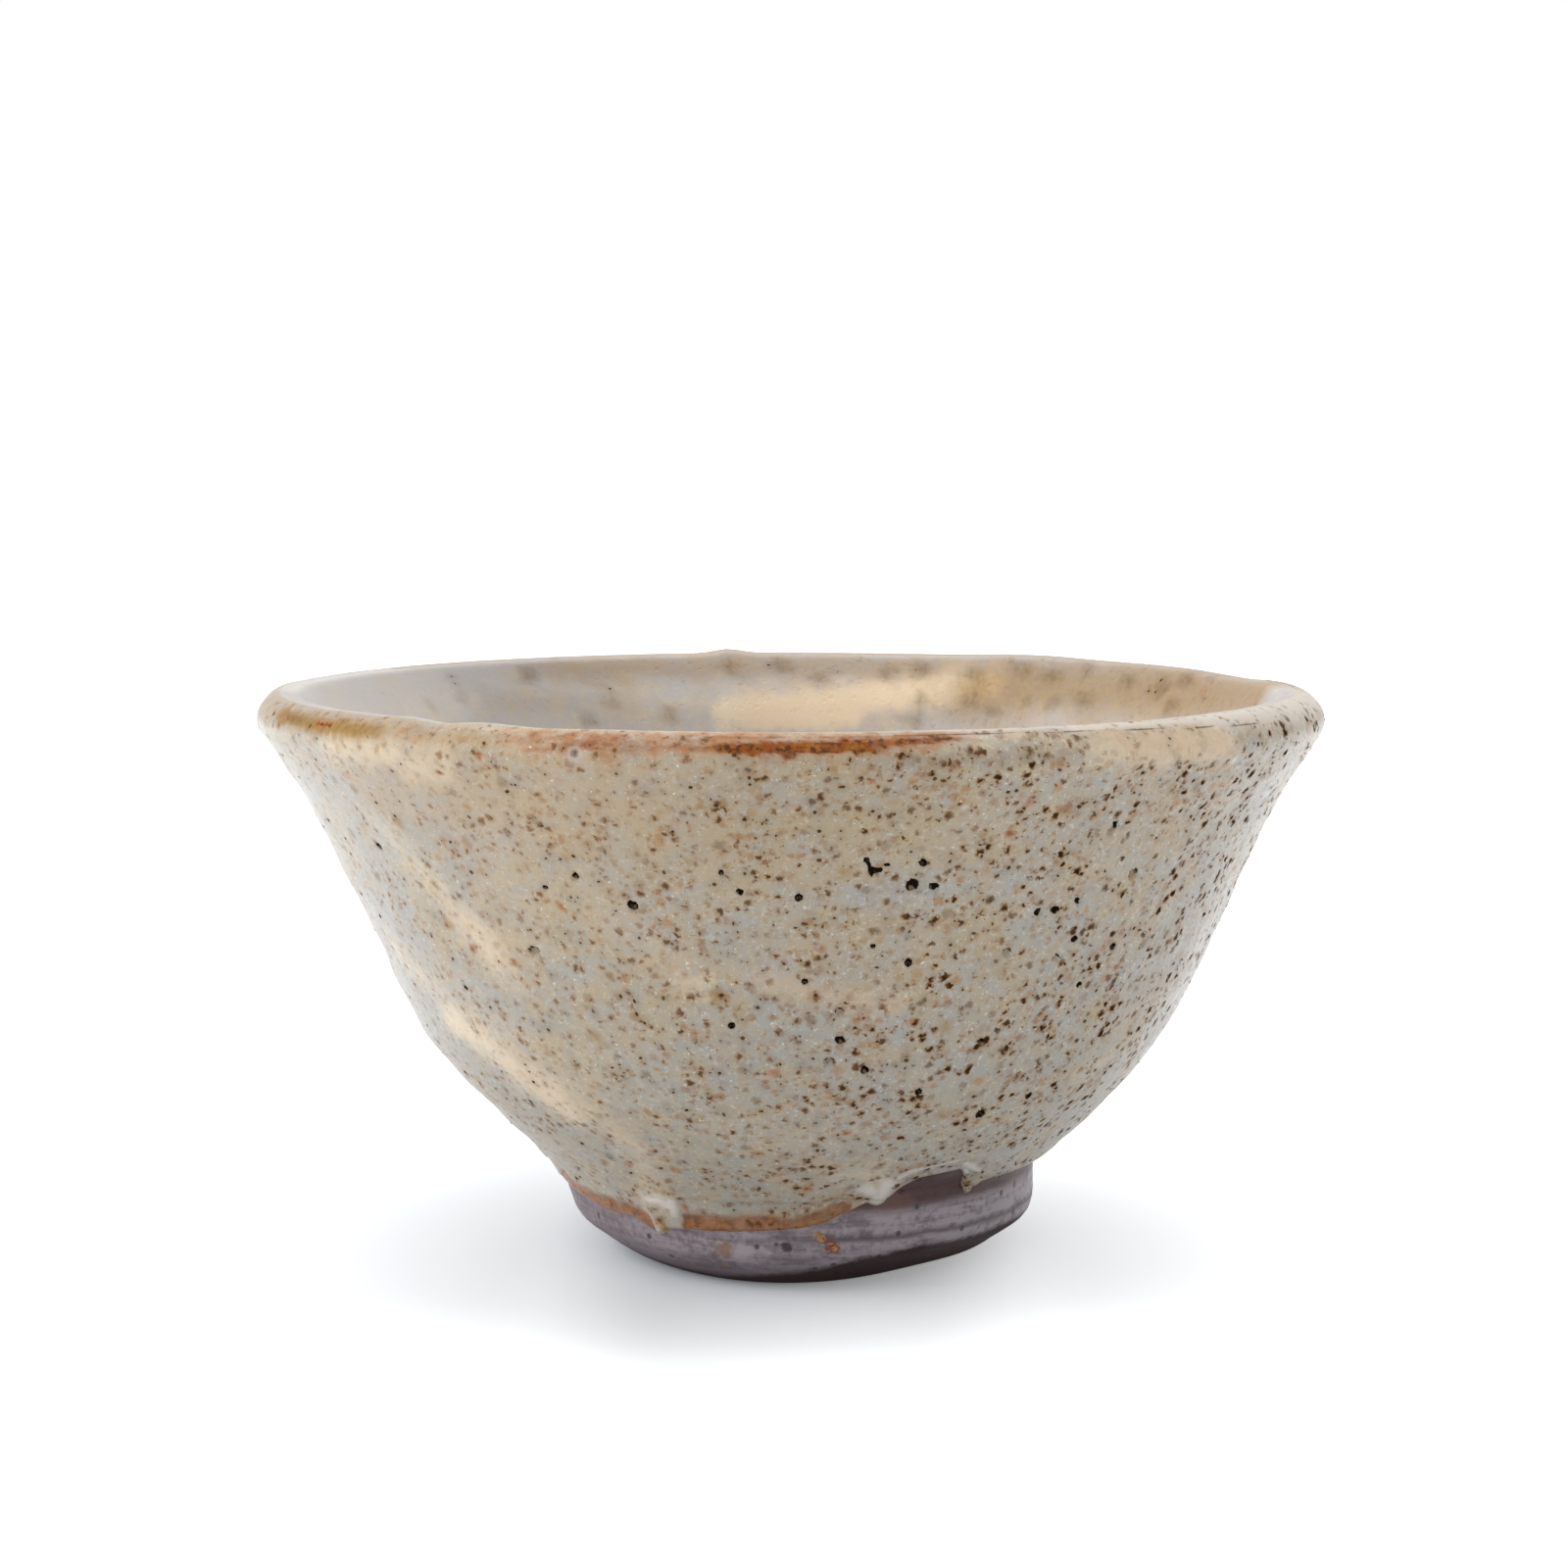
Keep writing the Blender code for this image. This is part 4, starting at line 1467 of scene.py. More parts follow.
    def stain(self, tint: Array, points: Array, grains: Speckle) -> None:
        """Tints the glaze round grains that bled into it.

        Args:
            tint: Numbers to add to, changed in place.
            points: The coat's points.
            grains: The grains.
        """
        tree = kdtree.KDTree(len(points))
        for index, point in enumerate(points):
            tree.insert(point, index)
        tree.balance()
        for point, radius in zip(grains.points, grains.radius):
            reach = radius * self.bleed_spread + self.bleed_reach
            for _, index, gap in tree.find_range(Vector(point), reach * 1.6):
                tint[index] = max(tint[index], self.bleed * math.exp(-((gap / reach) ** 2)))

    def shell(self, name: str, upper: Array, lower: Array, fields: Tints, to_axis: bool,
              material: Material) -> Object:
        """Joins a coat's free face and its underside into one closed mesh.

        Args:
            name: The piece's name.
            upper: Rows of points on the free face, from the crest down.
            lower: Fewer rows of points on the underside, from the crest down.
            fields: Tints of the free face's points.
            to_axis: True where the last rows close on the axis.
            material: The coat's finish.

        Returns:
            The piece.
        """
        rows, columns = upper.shape[:2]
        under = lower.shape[0]
        points = np.concatenate([upper.reshape(-1, 3), lower.reshape(-1, 3)])
        ring = np.arange(columns)
        after = np.roll(ring, -1)

        def band(first: Array, second: Array) -> Array:
            """Quads between two rings of point numbers."""
            return np.stack([first[ring], second[ring], second[after], first[after]], axis=1)

        top = [ring + row * columns for row in range(rows)]
        base = [ring + (rows + row) * columns for row in range(under)]
        quads = [band(a, b) for a, b in zip(top, top[1:])] + [band(b, a) for a, b in zip(base, base[1:])]
        quads.append(band(base[0], top[0]))
        faces = np.concatenate(quads + ([] if to_axis else [band(top[-1], base[-1])])).tolist()
        if to_axis:
            poles = np.array([(last.min(axis=0) + last.max(axis=0)) / 2 for last in (upper[-1], lower[-1])])
            spots_at = len(points)
            points = np.concatenate([points, poles])
            faces += [[int(a), spots_at, int(b)] for a, b in zip(top[-1][ring], top[-1][after])]
            faces += [[int(b), spots_at + 1, int(a)] for a, b in zip(base[-1][ring], base[-1][after])]
        mesh = bpy.data.meshes.new(name)
        mesh.from_pydata(points.tolist(), [], faces)
        for tint, values in fields.items():
            padded = np.zeros(len(points), np.float32)
            padded[: values.size] = values.ravel()
            if to_axis:
                padded[-2] = values[-1].mean()
            mesh.attributes.new(tint.value, "FLOAT", "POINT").data.foreach_set("value", padded)
        mesh.shade_smooth()
        mesh.set_sharp_from_angle(angle=self.sharp_from)
        mesh.materials.append(material)
        return linked(name, mesh)

    def fields_on(self, points: Array, laid: list[Stroke], outline: Outline) -> Tints:
        """The tints that strokes lay on a coat's points.

        Args:
            points: The coat's points.
            laid: The strokes.
            outline: The side of the clay.

        Returns:
            One array for each tint.
        """
        fields = {tint: np.zeros(len(points)) for tint in Tint}
        for stroke in laid:
            self.paint(fields, points, stroke, self.settle(stroke, outline))
        return fields

    def grid(self, outline: Outline, shares: Array, ends: Array, pits: list) -> CoatGrid:
        """Lays out the points of one coat.

        Args:
            outline: The side of the clay that it lies on.
            shares: Shares of the coat's length for its rows.
            ends: The drop of its lower edge at each column.
            pits: Its pits.

        Returns:
            The grid, on the even face of the coat.
        """
        azimuth = np.repeat(self.azimuths[None], len(shares), axis=0)
        drop = shares[:, None] * ends[None]
        hollows = self.gather(azimuth, drop, outline, pits)
        coat = self.form.coat_at(outline, drop)
        return CoatGrid(outline, azimuth, drop, coat, self.form.place(outline, azimuth, drop, coat), hollows)

    def raised(self, grid: CoatGrid, lift: Array) -> Array:
        """A grid's points at these distances off the clay, with the lip's lumps."""
        return self.lumped(self.form.place(grid.outline, grid.azimuth, grid.drop, lift), grid.azimuth)

    def paint_crest_highlight(self, fields: Tints, drop: Array) -> None:
        """Lays a fine painted highlight line along the lip's crest."""
        crest = self.crest * (1 - eased(0.0, self.crest_highlight_width, drop))
        fields[Tint.IVORY] = np.maximum(fields[Tint.IVORY], crest.ravel())

    def closed(self, name: str, grid: CoatGrid, points: Array, under: Array,
               fields: Tints, material: Material) -> Object:
        """Gives a coat its underside and closes it.

        Args:
            name: The piece's name.
            grid: The coat's grid.
            points: Its free face.
            under: How far its underside stands off the clay.
            fields: Its tints.
            material: Its finish.

        Returns:
            The piece.
        """
        picks = np.unique(np.linspace(0, len(points) - 1, self.under_rows).round().astype(int))
        lower = self.raised(grid, under)[picks]
        shaped = {tint: values.reshape(grid.drop.shape) for tint, values in fields.items()}
        inner = grid.outline is self.form.inner
        if inner:
            points, lower = points[:, ::-1], lower[:, ::-1]
            shaped = {tint: values[:, ::-1] for tint, values in shaped.items()}
        return self.shell(name, points, lower, shaped, inner, material)

    def outside(self, material: Material) -> Object:
        """The outer coat, from the lip's crest to its wandering edge above the foot.

        Args:
            material: Its finish.

        Returns:
            The piece.
        """
        form, ends = self.form, self.edge_drops
        steps = (self.lip_step, self.wall_step, self.edge_step)
        shares = self.spacing(float(ends.mean()), self.lip_rows, self.edge_rows, steps)
        grid = self.grid(form.outer, shares, ends, self.pits(True))
        drop, flat = grid.drop, grid.points.reshape(-1, 3)
        fields = self.fields_on(flat, BRUSHWORK_OUT + LIP_BANDS + DRIPS + BACK_BRUSHWORK + STAINS, form.outer)
        drips = self.fields_on(flat, DRIPS, form.outer)[Tint.IVORY].reshape(drop.shape)
        above = ends[None] - drop
        tall = self.film_heights(grid.azimuth, drips, flat)
        flash = eased(0.0, self.flash_from, tall) * (1 - eased(*self.flash_fade, above - tall))
        fields[Tint.FLASH] = flash.ravel()
        self.paint_crest_highlight(fields, drop)
        lift = grid.coat + self.sweeps(grid.azimuth, drop, OUTER_SWEEPS) * eased(*self.sweep_end, above)
        under = np.minimum(lift - self.glaze, form.coat)
        lift += self.relief(flat, fields, drop) + self.drip_build * drips
        self.hollow(lift, under, fields, grid.hollows)
        lift = self.edged(lift, drop, above, tall, drips)
        points = self.raised(grid, lift)
        spots_at, normals = points.reshape(-1, 3), self.normals(points)
        kept = (drop > self.bare_lip) & (above > self.bare_edge)
        shy = np.maximum(self.slip_hides * fields[Tint.SLIP], fields[Tint.IVORY])
        shy = np.maximum(shy, self.few_left * (1 - eased(self.few_from, 0.0, spots_at[:, 0])))
        shy = np.where(kept.ravel() & (fields[Tint.PIT] < self.pit_shown), shy, 1.0)
        self.stain(fields[Tint.IRON], spots_at, self.sprinkle(IRON_OUTSIDE, spots_at, normals, shy))
        self.sprinkle(QUARTZ_OUTSIDE, spots_at, normals, np.maximum(shy, 2 * fields[Tint.RUST]))
        under = np.maximum(0.0, np.minimum(under, lift - self.least_glaze))
        return self.closed("outer_glaze_coat", grid, points, under, fields, material)

    def inside(self, material: Material) -> Object:
        """The liner coat, from the lip's crest to the middle of the floor.

        Args:
            material: Its finish.

        Returns:
            The piece.
        """
        total = self.form.inner.named["middle"]
        steps = (self.lip_step, self.inner_step, self.inner_step)
        shares = self.spacing(total, self.inner_lip_rows, self.floor_rows, steps)
        shares = shares[shares * total < total - self.floor_pole]
        grid = self.grid(self.form.inner, shares, np.full(len(self.azimuths), total), self.pits(False))
        drop, flat = grid.drop, grid.points.reshape(-1, 3)
        fields = self.fields_on(flat, BRUSHWORK_IN + INNER_LIP_BANDS, self.form.inner)
        wash = self.wash * (1 + 0.8 * lumpy(flat, self.wash_size, 47, 2)) * eased(0.001, 0.004, drop.ravel())
        fields[Tint.SLIP] = np.maximum(fields[Tint.SLIP], wash)
        self.paint_crest_highlight(fields, drop)
        lift = grid.coat + self.sweeps(grid.azimuth, drop, INNER_SWEEPS)
        under = lift - self.glaze
        lift += self.relief(flat, fields, drop)
        self.hollow(lift, under, fields, grid.hollows)
        points = self.raised(grid, lift)
        spots_at, normals = points.reshape(-1, 3), -self.normals(points)
        kept = (drop > self.inner_bare_lip).ravel() & (fields[Tint.PIT] < self.pit_shown)
        shy = np.where(kept, self.slip_hides * fields[Tint.SLIP], 1.0)
        self.stain(fields[Tint.IRON], spots_at, self.sprinkle(IRON_INSIDE, spots_at, normals, shy))
        return self.closed("inner_glaze_coat", grid, points, under, fields, material)

    def slip_layer(self, name: str, outline: Outline, ends: Array, sweeps: Sequence[tuple],
                   material: Material) -> Object:
        """The brushed slip between the clay and one coat of glaze.

        Args:
            name: The piece's name.
            outline: The side of the clay that it lies on.
            ends: The drop of its lower edge at each of the coats' columns.
            sweeps: Brush sweeps where it lies thicker.
            material: Its finish.

        Returns:
            The piece.
        """
        share = np.linspace(0, 1, self.slip_rows)[:, None]
        azimuth = np.repeat(self.azimuths[None, ::self.slip_step], self.slip_rows, axis=0)
        drop = self.slip_start + (ends[None, ::self.slip_step] - self.slip_start) * share
        face = self.form.coat_at(outline, drop) + self.sweeps(azimuth, drop, sweeps)
        face = face - self.glaze - self.slip_gap
        face = np.maximum(face, 2 * self.slip_gap) * np.sin(np.pi * np.clip(share, 0.04, 0.96)) ** 0.15
        base = np.full_like(face, self.slip_gap / 2)
        layers = [self.form.place(outline, azimuth, drop, lift) for lift in (face, base)]
        if outline is self.form.inner:
            layers = [layer[:, ::-1] for layer in layers]
        return self.shell(name, *layers, {}, False, material)

    def film_heights(self, azimuth: Array, drips: Array, points: Array) -> Array:
        """How tall the thin rusty film below the thick glaze is, left, in front and behind.

        Args:
            azimuth: Azimuths of the grid.
            drips: Where glaze gathered, from 0 to 1.
            points: The grid's points.

        Returns:
            Heights in metres.
        """
        turn = np.degrees(azimuth)
        front, behind = self.film_front, self.film_behind
        ahead = eased(*front[:2], turn) * (1 - eased(*front[2:], turn))
        back = 0.7 * eased(*behind[:2], turn) * (1 - eased(*behind[2:], turn))
        wander = lumpy(points, self.film_lump, 31, 2).reshape(azimuth.shape)[-1]
        dry = 1 - eased(0.25, 0.7, drips.max(axis=0))
        return (ahead + back) * dry * self.film_tall * (1 + self.film_wander * wander)

    def edged(self, lift: Array, drop: Array, above: Array, tall: Array, drips: Array) -> Array:
        """Fills the corner over the foot and rounds the coat off at its lower edge.

        Args:
            lift: How far the coat's face stands off the clay.
            drop: Drops of the grid.
            above: Distances up from the coat's edge.
            tall: Heights of the thin film at that edge.
            drips: Where glaze gathered, from 0 to 1.

        Returns:
            The face's new distances off the clay.
        """
        body = above - tall
        thick = self.edge_thick + self.drip_build * drips
        corner = bell(self.form.outer.named["root"], self.fillet_reach, drop)
        lift = lift + (thick - lift) * (1 - eased(*self.edge_swell, body))
        lift += self.fillet * corner * eased(0.0, self.fillet_reach, body)
        slope = thick * (1 + 1.8 * eased(0.0, self.film_start, tall) * (1 - drips))
        low = 1 - np.clip(body / slope, 0, 1)
        film = self.film * eased(0.0, self.film_start, tall)
        lift = film + (lift - film) * np.sqrt(1 - low ** 2)
        last = 1 - np.clip(above / self.film, 0, 1)
        return lift * np.sqrt(1 - last ** 2) - self.edge_tuck * last

    def relief(self, points: Array, fields: Tints, drop: Array) -> Array:
        """Fine height over a coat: throwing rings, brush marks, and the glaze's own unevenness.

        Args:
            points: The coat's points.
            fields: Its tints.
            drop: Drops of the grid.

        Returns:
            Heights in metres.
        """
        sway = lumpy(points, self.ripple_sway, 41)
        rings = np.sin(math.tau * drop.ravel() / self.ripple_pitch + 2.5 * sway)
        height = self.ripple * rings * (0.5 + 0.5 * lumpy(points, self.ripple_patch, 42))
        swell = self.swell * lumpy(points, self.swell_size, 43, 2)
        height += swell + self.dimple * lumpy(points, self.dimple_size, 44, 2)
        height += self.grit * lumpy(points, self.grit_size, 45, 2)
        height += self.slip_ridge * fields[Tint.SLIP] * (1 + 0.4 * lumpy(points, self.ridge_size, 46))
        height -= self.rust_thin * fields[Tint.RUST]
        calm = eased(0.0, self.calm_lip, drop.ravel()) * 0.8 + 0.2
        return (height * calm).reshape(drop.shape)

    def hollow(self, lift: Array, under: Array, fields: Tints, hollows: list) -> None:
        """Sinks each pit as far as the slip lets it, raises its rim, and notes its painted shade and the
        painted light on its lower floor.

        Args:
            lift: The face's distances off the clay, changed in place.
            under: The underside's distances off the clay.
            fields: Tints, changed in place.
            hollows: What gather gives.
        """
        for near, share, lower, radius, shallow in hollows:
            depth = min(self.pit_depth, radius * self.pit_steep) * (self.pit_shallow if shallow else 1.0)
            bowl = depth * (1 - eased(0.5, 1.0, share))
            rim = self.pit_rim * bell(*self.pit_rim_at, share)
            sunk = lift.ravel()[near] + rim - bowl
            lift.ravel()[near] = np.maximum(sunk, under.ravel()[near] + self.pit_floor)
            # Painted light on the lower floor of a deep pit; a shallow pit gets an iron tint on its floor and
            # painted shade along its upper rim.
            painted_light = bell(*self.painted_pit_light_at, share) * eased(0.0, 0.4, lower)
            floor = 0.9 * (1 - eased(0.7, 1.05, share)) if shallow else painted_light
            fields[Tint.IRON][near] = np.maximum(fields[Tint.IRON][near], floor)
            if shallow:
                share = np.abs(share - 0.78) / 0.3 + np.maximum(0.0, lower + 0.25) * 1.6
            fields[Tint.PIT][near] = np.maximum(fields[Tint.PIT][near], 1 - share / 2)

    def normals(self, points: Array) -> Array:
        """Outward directions on a grid of points.

        Args:
            points: Rows and columns of points.

        Returns:
            Directions of length 1, one row each.
        """
        along = np.roll(points, -1, axis=1) - np.roll(points, 1, axis=1)
        down = np.gradient(points, axis=0)
        away = np.cross(down, along).reshape(-1, 3)
        return away / np.maximum(np.linalg.norm(away, axis=1, keepdims=True), 1e-12)


class NodeRecipe:
    """A Geometry Nodes tree with named inputs."""

    def __init__(self, name: str) -> None:
        """Starts a tree that takes and gives a mesh.

        Args:
            name: The tree's name.
        """
        self.tree = bpy.data.node_groups.new(name, "GeometryNodeTree")
        self.graph = Graph(self.tree)
        self.tree.interface.new_socket("Geometry", in_out="INPUT", socket_type="NodeSocketGeometry")
        self.tree.interface.new_socket("Geometry", in_out="OUTPUT", socket_type="NodeSocketGeometry")
        self.sockets: dict[str, str] = {}
        self.entry = self.graph.add("NodeGroupInput")

    def inputs(self, kinds: dict[str, str]) -> list[Value]:
        """Adds named inputs.

        Args:
            kinds: The kind of socket of each name.

        Returns:
            Their values.
        """
        for name, kind in kinds.items():
            socket = self.tree.interface.new_socket(name, in_out="INPUT", socket_type="NodeSocket" + kind)
            self.sockets[name] = socket.identifier
        return [self.entry.out(name) for name in kinds]

    def close(self, geometry: Value, material: Value) -> None:
        """Ends the tree with real, smooth, finished faces.

        Args:
            geometry: What the tree made.
            material: Its finish.
        """
        real = self.graph.add("GeometryNodeRealizeInstances", {}, {0: geometry})
        smooth = self.graph.add("GeometryNodeSetShadeSmooth", {}, {0: real})
        dressed = self.graph.add("GeometryNodeSetMaterial", {}, {"Geometry": smooth, "Material": material})
        self.graph.add("NodeGroupOutput", {}, {0: dressed})

    def apply(self, piece: Object, values: dict[str, Any]) -> None:
        """Runs the tree on a piece with these inputs and keeps the result as its mesh.

        Args:
            piece: The object to run it on.
            values: A value for each named input.
        """
        modifier = piece.modifiers.new(self.tree.name, "NODES")
        modifier.node_group = self.tree
        for name, value in values.items():
            modifier[self.sockets[name]] = value
        shown = piece.evaluated_get(bpy.context.evaluated_depsgraph_get())
        mesh = bpy.data.meshes.new_from_object(shown)
        piece.modifiers.clear()
        piece.data = mesh


@dataclass
class TurnedBody:
    """The thrown bowl and its turned foot, one piece of stoneware."""

    form: CupForm
    columns: int = 400
    foot_step: float = 0.00017
    hidden_step: float = 0.0016
    groove_depth: float = 0.00009
    spiral_depth: float = 0.00010
    spiral_pitch: float = 0.0017
    soften_rows: int = 26
    shown_above_root: float = 0.004
    worn_from: float = 0.0008
    worn_to: float = 0.0020
    scratch_round: float = 1.6
    scratch_tall: float = 2600.0
    scratch_scale: float = 0.55
    groove_fade: float = 0.004
    groove_floor: float = 0.0006
    spiral_rise: float = 0.0018
    merge: float = 1e-6

    def outline(self) -> Array:
        """The clay's section from the middle of the recess, up the outside and down the inside.

        Returns:
            Radius and height of each point.
        """
        outer, inner = self.form.outer, self.form.inner
        top = outer.named["root"] - self.shown_above_root
        foot = np.arange(top, outer.named["middle"], self.foot_step)
        foot = np.append(foot, outer.named["middle"])
        wall = np.arange(0.0, top, self.hidden_step)
        drops = np.concatenate([wall, foot])
        section = outer.at(drops)
        worn = section.copy()
        for _ in range(self.soften_rows):
            worn[1:-1] = (worn[:-2] + 2 * worn[1:-1] + worn[2:]) / 4
        share = eased(self.worn_from, self.worn_to, drops - outer.named["root"])[:, None]
        section[:-1] += (worn - section)[:-1] * share[:-1]
        lining = np.arange(self.hidden_step, inner.named["middle"], self.hidden_step)
        lining = np.append(lining, inner.named["middle"])
        return np.concatenate([section[::-1], inner.at(lining)])

    def recipe(self) -> NodeRecipe:
        """The tree that turns the section round the axis and cuts the tool's grooves.

        Returns:
            The finished tree.
        """
        form, recipe = self.form, NodeRecipe("turn_the_clay")
        graph = recipe.graph
        kinds = {"Rows": "Int", "Columns": "Int", "Groove Depth": "Float", "Spiral Depth": "Float",
                 "Material": "Material"}
        rows, columns, groove, spiral, material = recipe.inputs(kinds)
        sheet = graph.add("GeometryNodeMeshGrid", {}, {"Size X": 1.0, "Size Y": 1.0,
                                                       "Vertices X": columns + 1, "Vertices Y": rows})
        spot = graph.parts(graph.add("GeometryNodeInputPosition"))
        turn = (spot.out("X") + 0.5) * math.tau
        row = (spot.out("Y") + 0.5) * (rows - 1)
        number = graph.add("FunctionNodeFloatToInt", {"rounding_mode": "ROUND"}, {0: row})
        section = graph.add("GeometryNodeSampleIndex", {"data_type": "FLOAT_VECTOR", "domain": "POINT"},
                            {"Geometry": recipe.entry.out("Geometry"), "Index": number})
        graph.feed(section.node.inputs["Value"], graph.add("GeometryNodeInputPosition"))
        drawn = graph.parts(section)
        radius, height = drawn.out("X"), drawn.out("Z")
        rise = (height - form.foot_height) / (form.height - form.foot_height)
        rise = rise.most(0.0) ** form.rim_lean_power
        low = height.smooth(form.foot_height, form.bevel_height)
        out = (radius * 2).smooth(form.recess_diameter, form.contact_diameter)
        right = (turn - form.chamfer_turn).cosine().most(0.0) ** form.chamfer_narrow
        front = (turn - form.spread_turn).cosine().most(0.0) ** form.spread_narrow
        uneven = right * form.chamfer_cut - front * form.spread_out
        uneven = uneven * height.smooth(form.chamfer_top, form.chamfer_bottom)
        taper = (low * (0.5 - turn.cosine() * 0.5) * form.foot_taper + uneven) * out
        aside = (1 - rise) * form.foot_shift
        tilt = rise * turn.sine() * form.rim_tilt
        wide = self.scratch_round
        ring = graph.joined(turn.cosine() * wide, turn.sine() * wide, height * self.scratch_tall)
        scratch = graph.clouds(ring, 1 / self.scratch_scale, 4.0, 0.6) - 0.5
        outside = (radius * 2).smooth(form.contact_diameter - self.groove_fade, form.contact_diameter)
        cut = scratch * groove * 2 * outside * height.smooth(0.0, self.groove_floor)
        away = (radius - taper + cut) * (1 - radius.below(1e-7))
        sunk = (radius * 2).smooth(form.recess_diameter, form.recess_diameter * 0.8)
        sunk = height.smooth(self.groove_floor, self.spiral_rise) * sunk
        path = (radius / self.spiral_pitch - turn / math.tau) * math.tau
        moved = graph.joined(away * turn.cosine() + aside, away * turn.sine(),
                             height + tilt + path.sine() * spiral * sunk)
        turned = graph.add("GeometryNodeSetPosition", {}, {"Geometry": sheet, "Position": moved})
        closed = graph.add("GeometryNodeMergeByDistance", {}, {"Geometry": turned, "Distance": self.merge})
        recipe.close(closed, material)
        return recipe

    def build(self, material: Material) -> Object:
        """Makes the clay body from its drawn section.

        Args:
            material: Its finish.

        Returns:
            The piece.
        """
        section = self.outline()
        mesh = bpy.data.meshes.new("stoneware_body")
        points = [(float(radius), 0.0, float(height)) for radius, height in section]
        mesh.from_pydata(points, [(i, i + 1) for i in range(len(points) - 1)], [])
        piece = linked("stoneware_body", mesh)
        self.recipe().apply(piece, {"Rows": len(points), "Columns": self.columns, "Material": material,
                                    "Groove Depth": self.groove_depth, "Spiral Depth": self.spiral_depth})
        return piece


@dataclass
class GrainBed:
    """Small grains bedded in a surface, each one a low lump that follows it."""

    flatness: float = 0.3
    spread: float = 0.35
    seed: int = 5

    @cached_property
    def recipe(self) -> NodeRecipe:
        """The tree that sets one lump on each point, turned to the surface.

        Returns:
            The finished tree.
        """
        recipe = NodeRecipe("bed_the_grains")
        graph = recipe.graph
        kinds = {"Flatness": "Float", "Spread": "Float", "Seed": "Int", "Material": "Material"}
        flatness, spread, seed, material = recipe.inputs(kinds)
        carried = "GeometryNodeInputNamedAttribute"
        outward = graph.add(carried, {"data_type": "FLOAT_VECTOR"}, {"Name": "outward"})
        radius = graph.add(carried, {"data_type": "FLOAT"}, {"Name": "grain"})
        uneven = graph.add("FunctionNodeRandomValue", {"data_type": "FLOAT"}, {"Seed": seed}, 1)
        wide = (1 + (uneven - 0.5) * 2 * spread) * radius
        size = graph.joined(wide, radius * 2 - wide, radius * flatness)
        facing = graph.add("FunctionNodeAlignRotationToVector", {"axis": "Z"}, {"Vector": outward})
        lump = graph.add("GeometryNodeMeshIcoSphere", {}, {"Radius": 1.0, "Subdivisions": 1})
        grains = graph.add("GeometryNodeInstanceOnPoints", {},
                           {"Points": recipe.entry.out("Geometry"), "Instance": lump, "Rotation": facing,
                            "Scale": size})
        recipe.close(grains, material)
        return recipe

    def build(self, name: str, grains: Speckle, material: Material) -> Object:
        """Makes one piece of all the grains of a kind.

        Args:
            name: The piece's name.
            grains: The grains.
            material: Their finish.

        Returns:
            The piece.
        """
        mesh = bpy.data.meshes.new(name)
        mesh.from_pydata(grains.points.tolist(), [], [])
        outward = mesh.attributes.new("outward", "FLOAT_VECTOR", "POINT")
        outward.data.foreach_set("vector", grains.outward.astype(np.float32).ravel())
        radius = mesh.attributes.new("grain", "FLOAT", "POINT")
        radius.data.foreach_set("value", grains.radius.astype(np.float32))
        piece = linked(name, mesh)
        self.recipe.apply(piece, {"Flatness": self.flatness, "Spread": self.spread, "Seed": self.seed,
                                  "Material": material})
        return piece


# Kiln crumbs fused to the foot: photo pixel and radius in millimetres
CRUMBS = ((838, 1263, 0.38), (846, 1269, 0.26), (853, 1274, 0.34), (834, 1258, 0.2))

# Stains on the bare foot: photo pixel, radius in millimetres and colour
FOOT_SCARS = (
    # The first is a pit, drawn as a dark spot of painted shade.
    (803, 1273, 0.55, ink(40, 30, 32)),
    (738, 1275, 0.75, ink(134, 106, 84)),
    (848, 1272, 0.7, ink(116, 66, 42)),
    (611, 1240, 0.35, ink(52, 42, 44)),
    (1035, 1208, 0.4, ink(48, 36, 38)),
)


def on_foot(form: CupForm, view: PhotoView, places: Sequence[tuple]) -> tuple[Array, Array]:
    """Points on the foot's clay that photo pixels show, and the directions out of it.

    Args:
        form: The cup.
        view: The photograph's camera.
        places: Rows that begin with a pixel's x and y.

    Returns:
        The points and the directions.
    """
    turns, drops = np.array([view.landing(form, x, y, Where.OUTSIDE, 0.0) for x, y, *_ in places]).T
    ground, above = [form.place(form.outer, turns, drops, np.full(len(drops), lift)) for lift in (0.0, MM)]
    return ground, (above - ground) / MM


def crumbs(form: CupForm, view: PhotoView) -> Speckle:
    """The crumbs, each on the foot's clay."""
    return Speckle(*on_foot(form, view, CRUMBS), np.array([radius * MM for *_, radius in CRUMBS]))


def foot_clay(form: CupForm, view: PhotoView) -> FootClay:
    """The bare clay's finish with its stains in their places."""
    places = (on_foot(form, view, FOOT_SCARS)[0] / MM).tolist()
    return FootClay(scars=tuple((tuple(place), *scar[2:]) for place, scar in zip(places, FOOT_SCARS)))


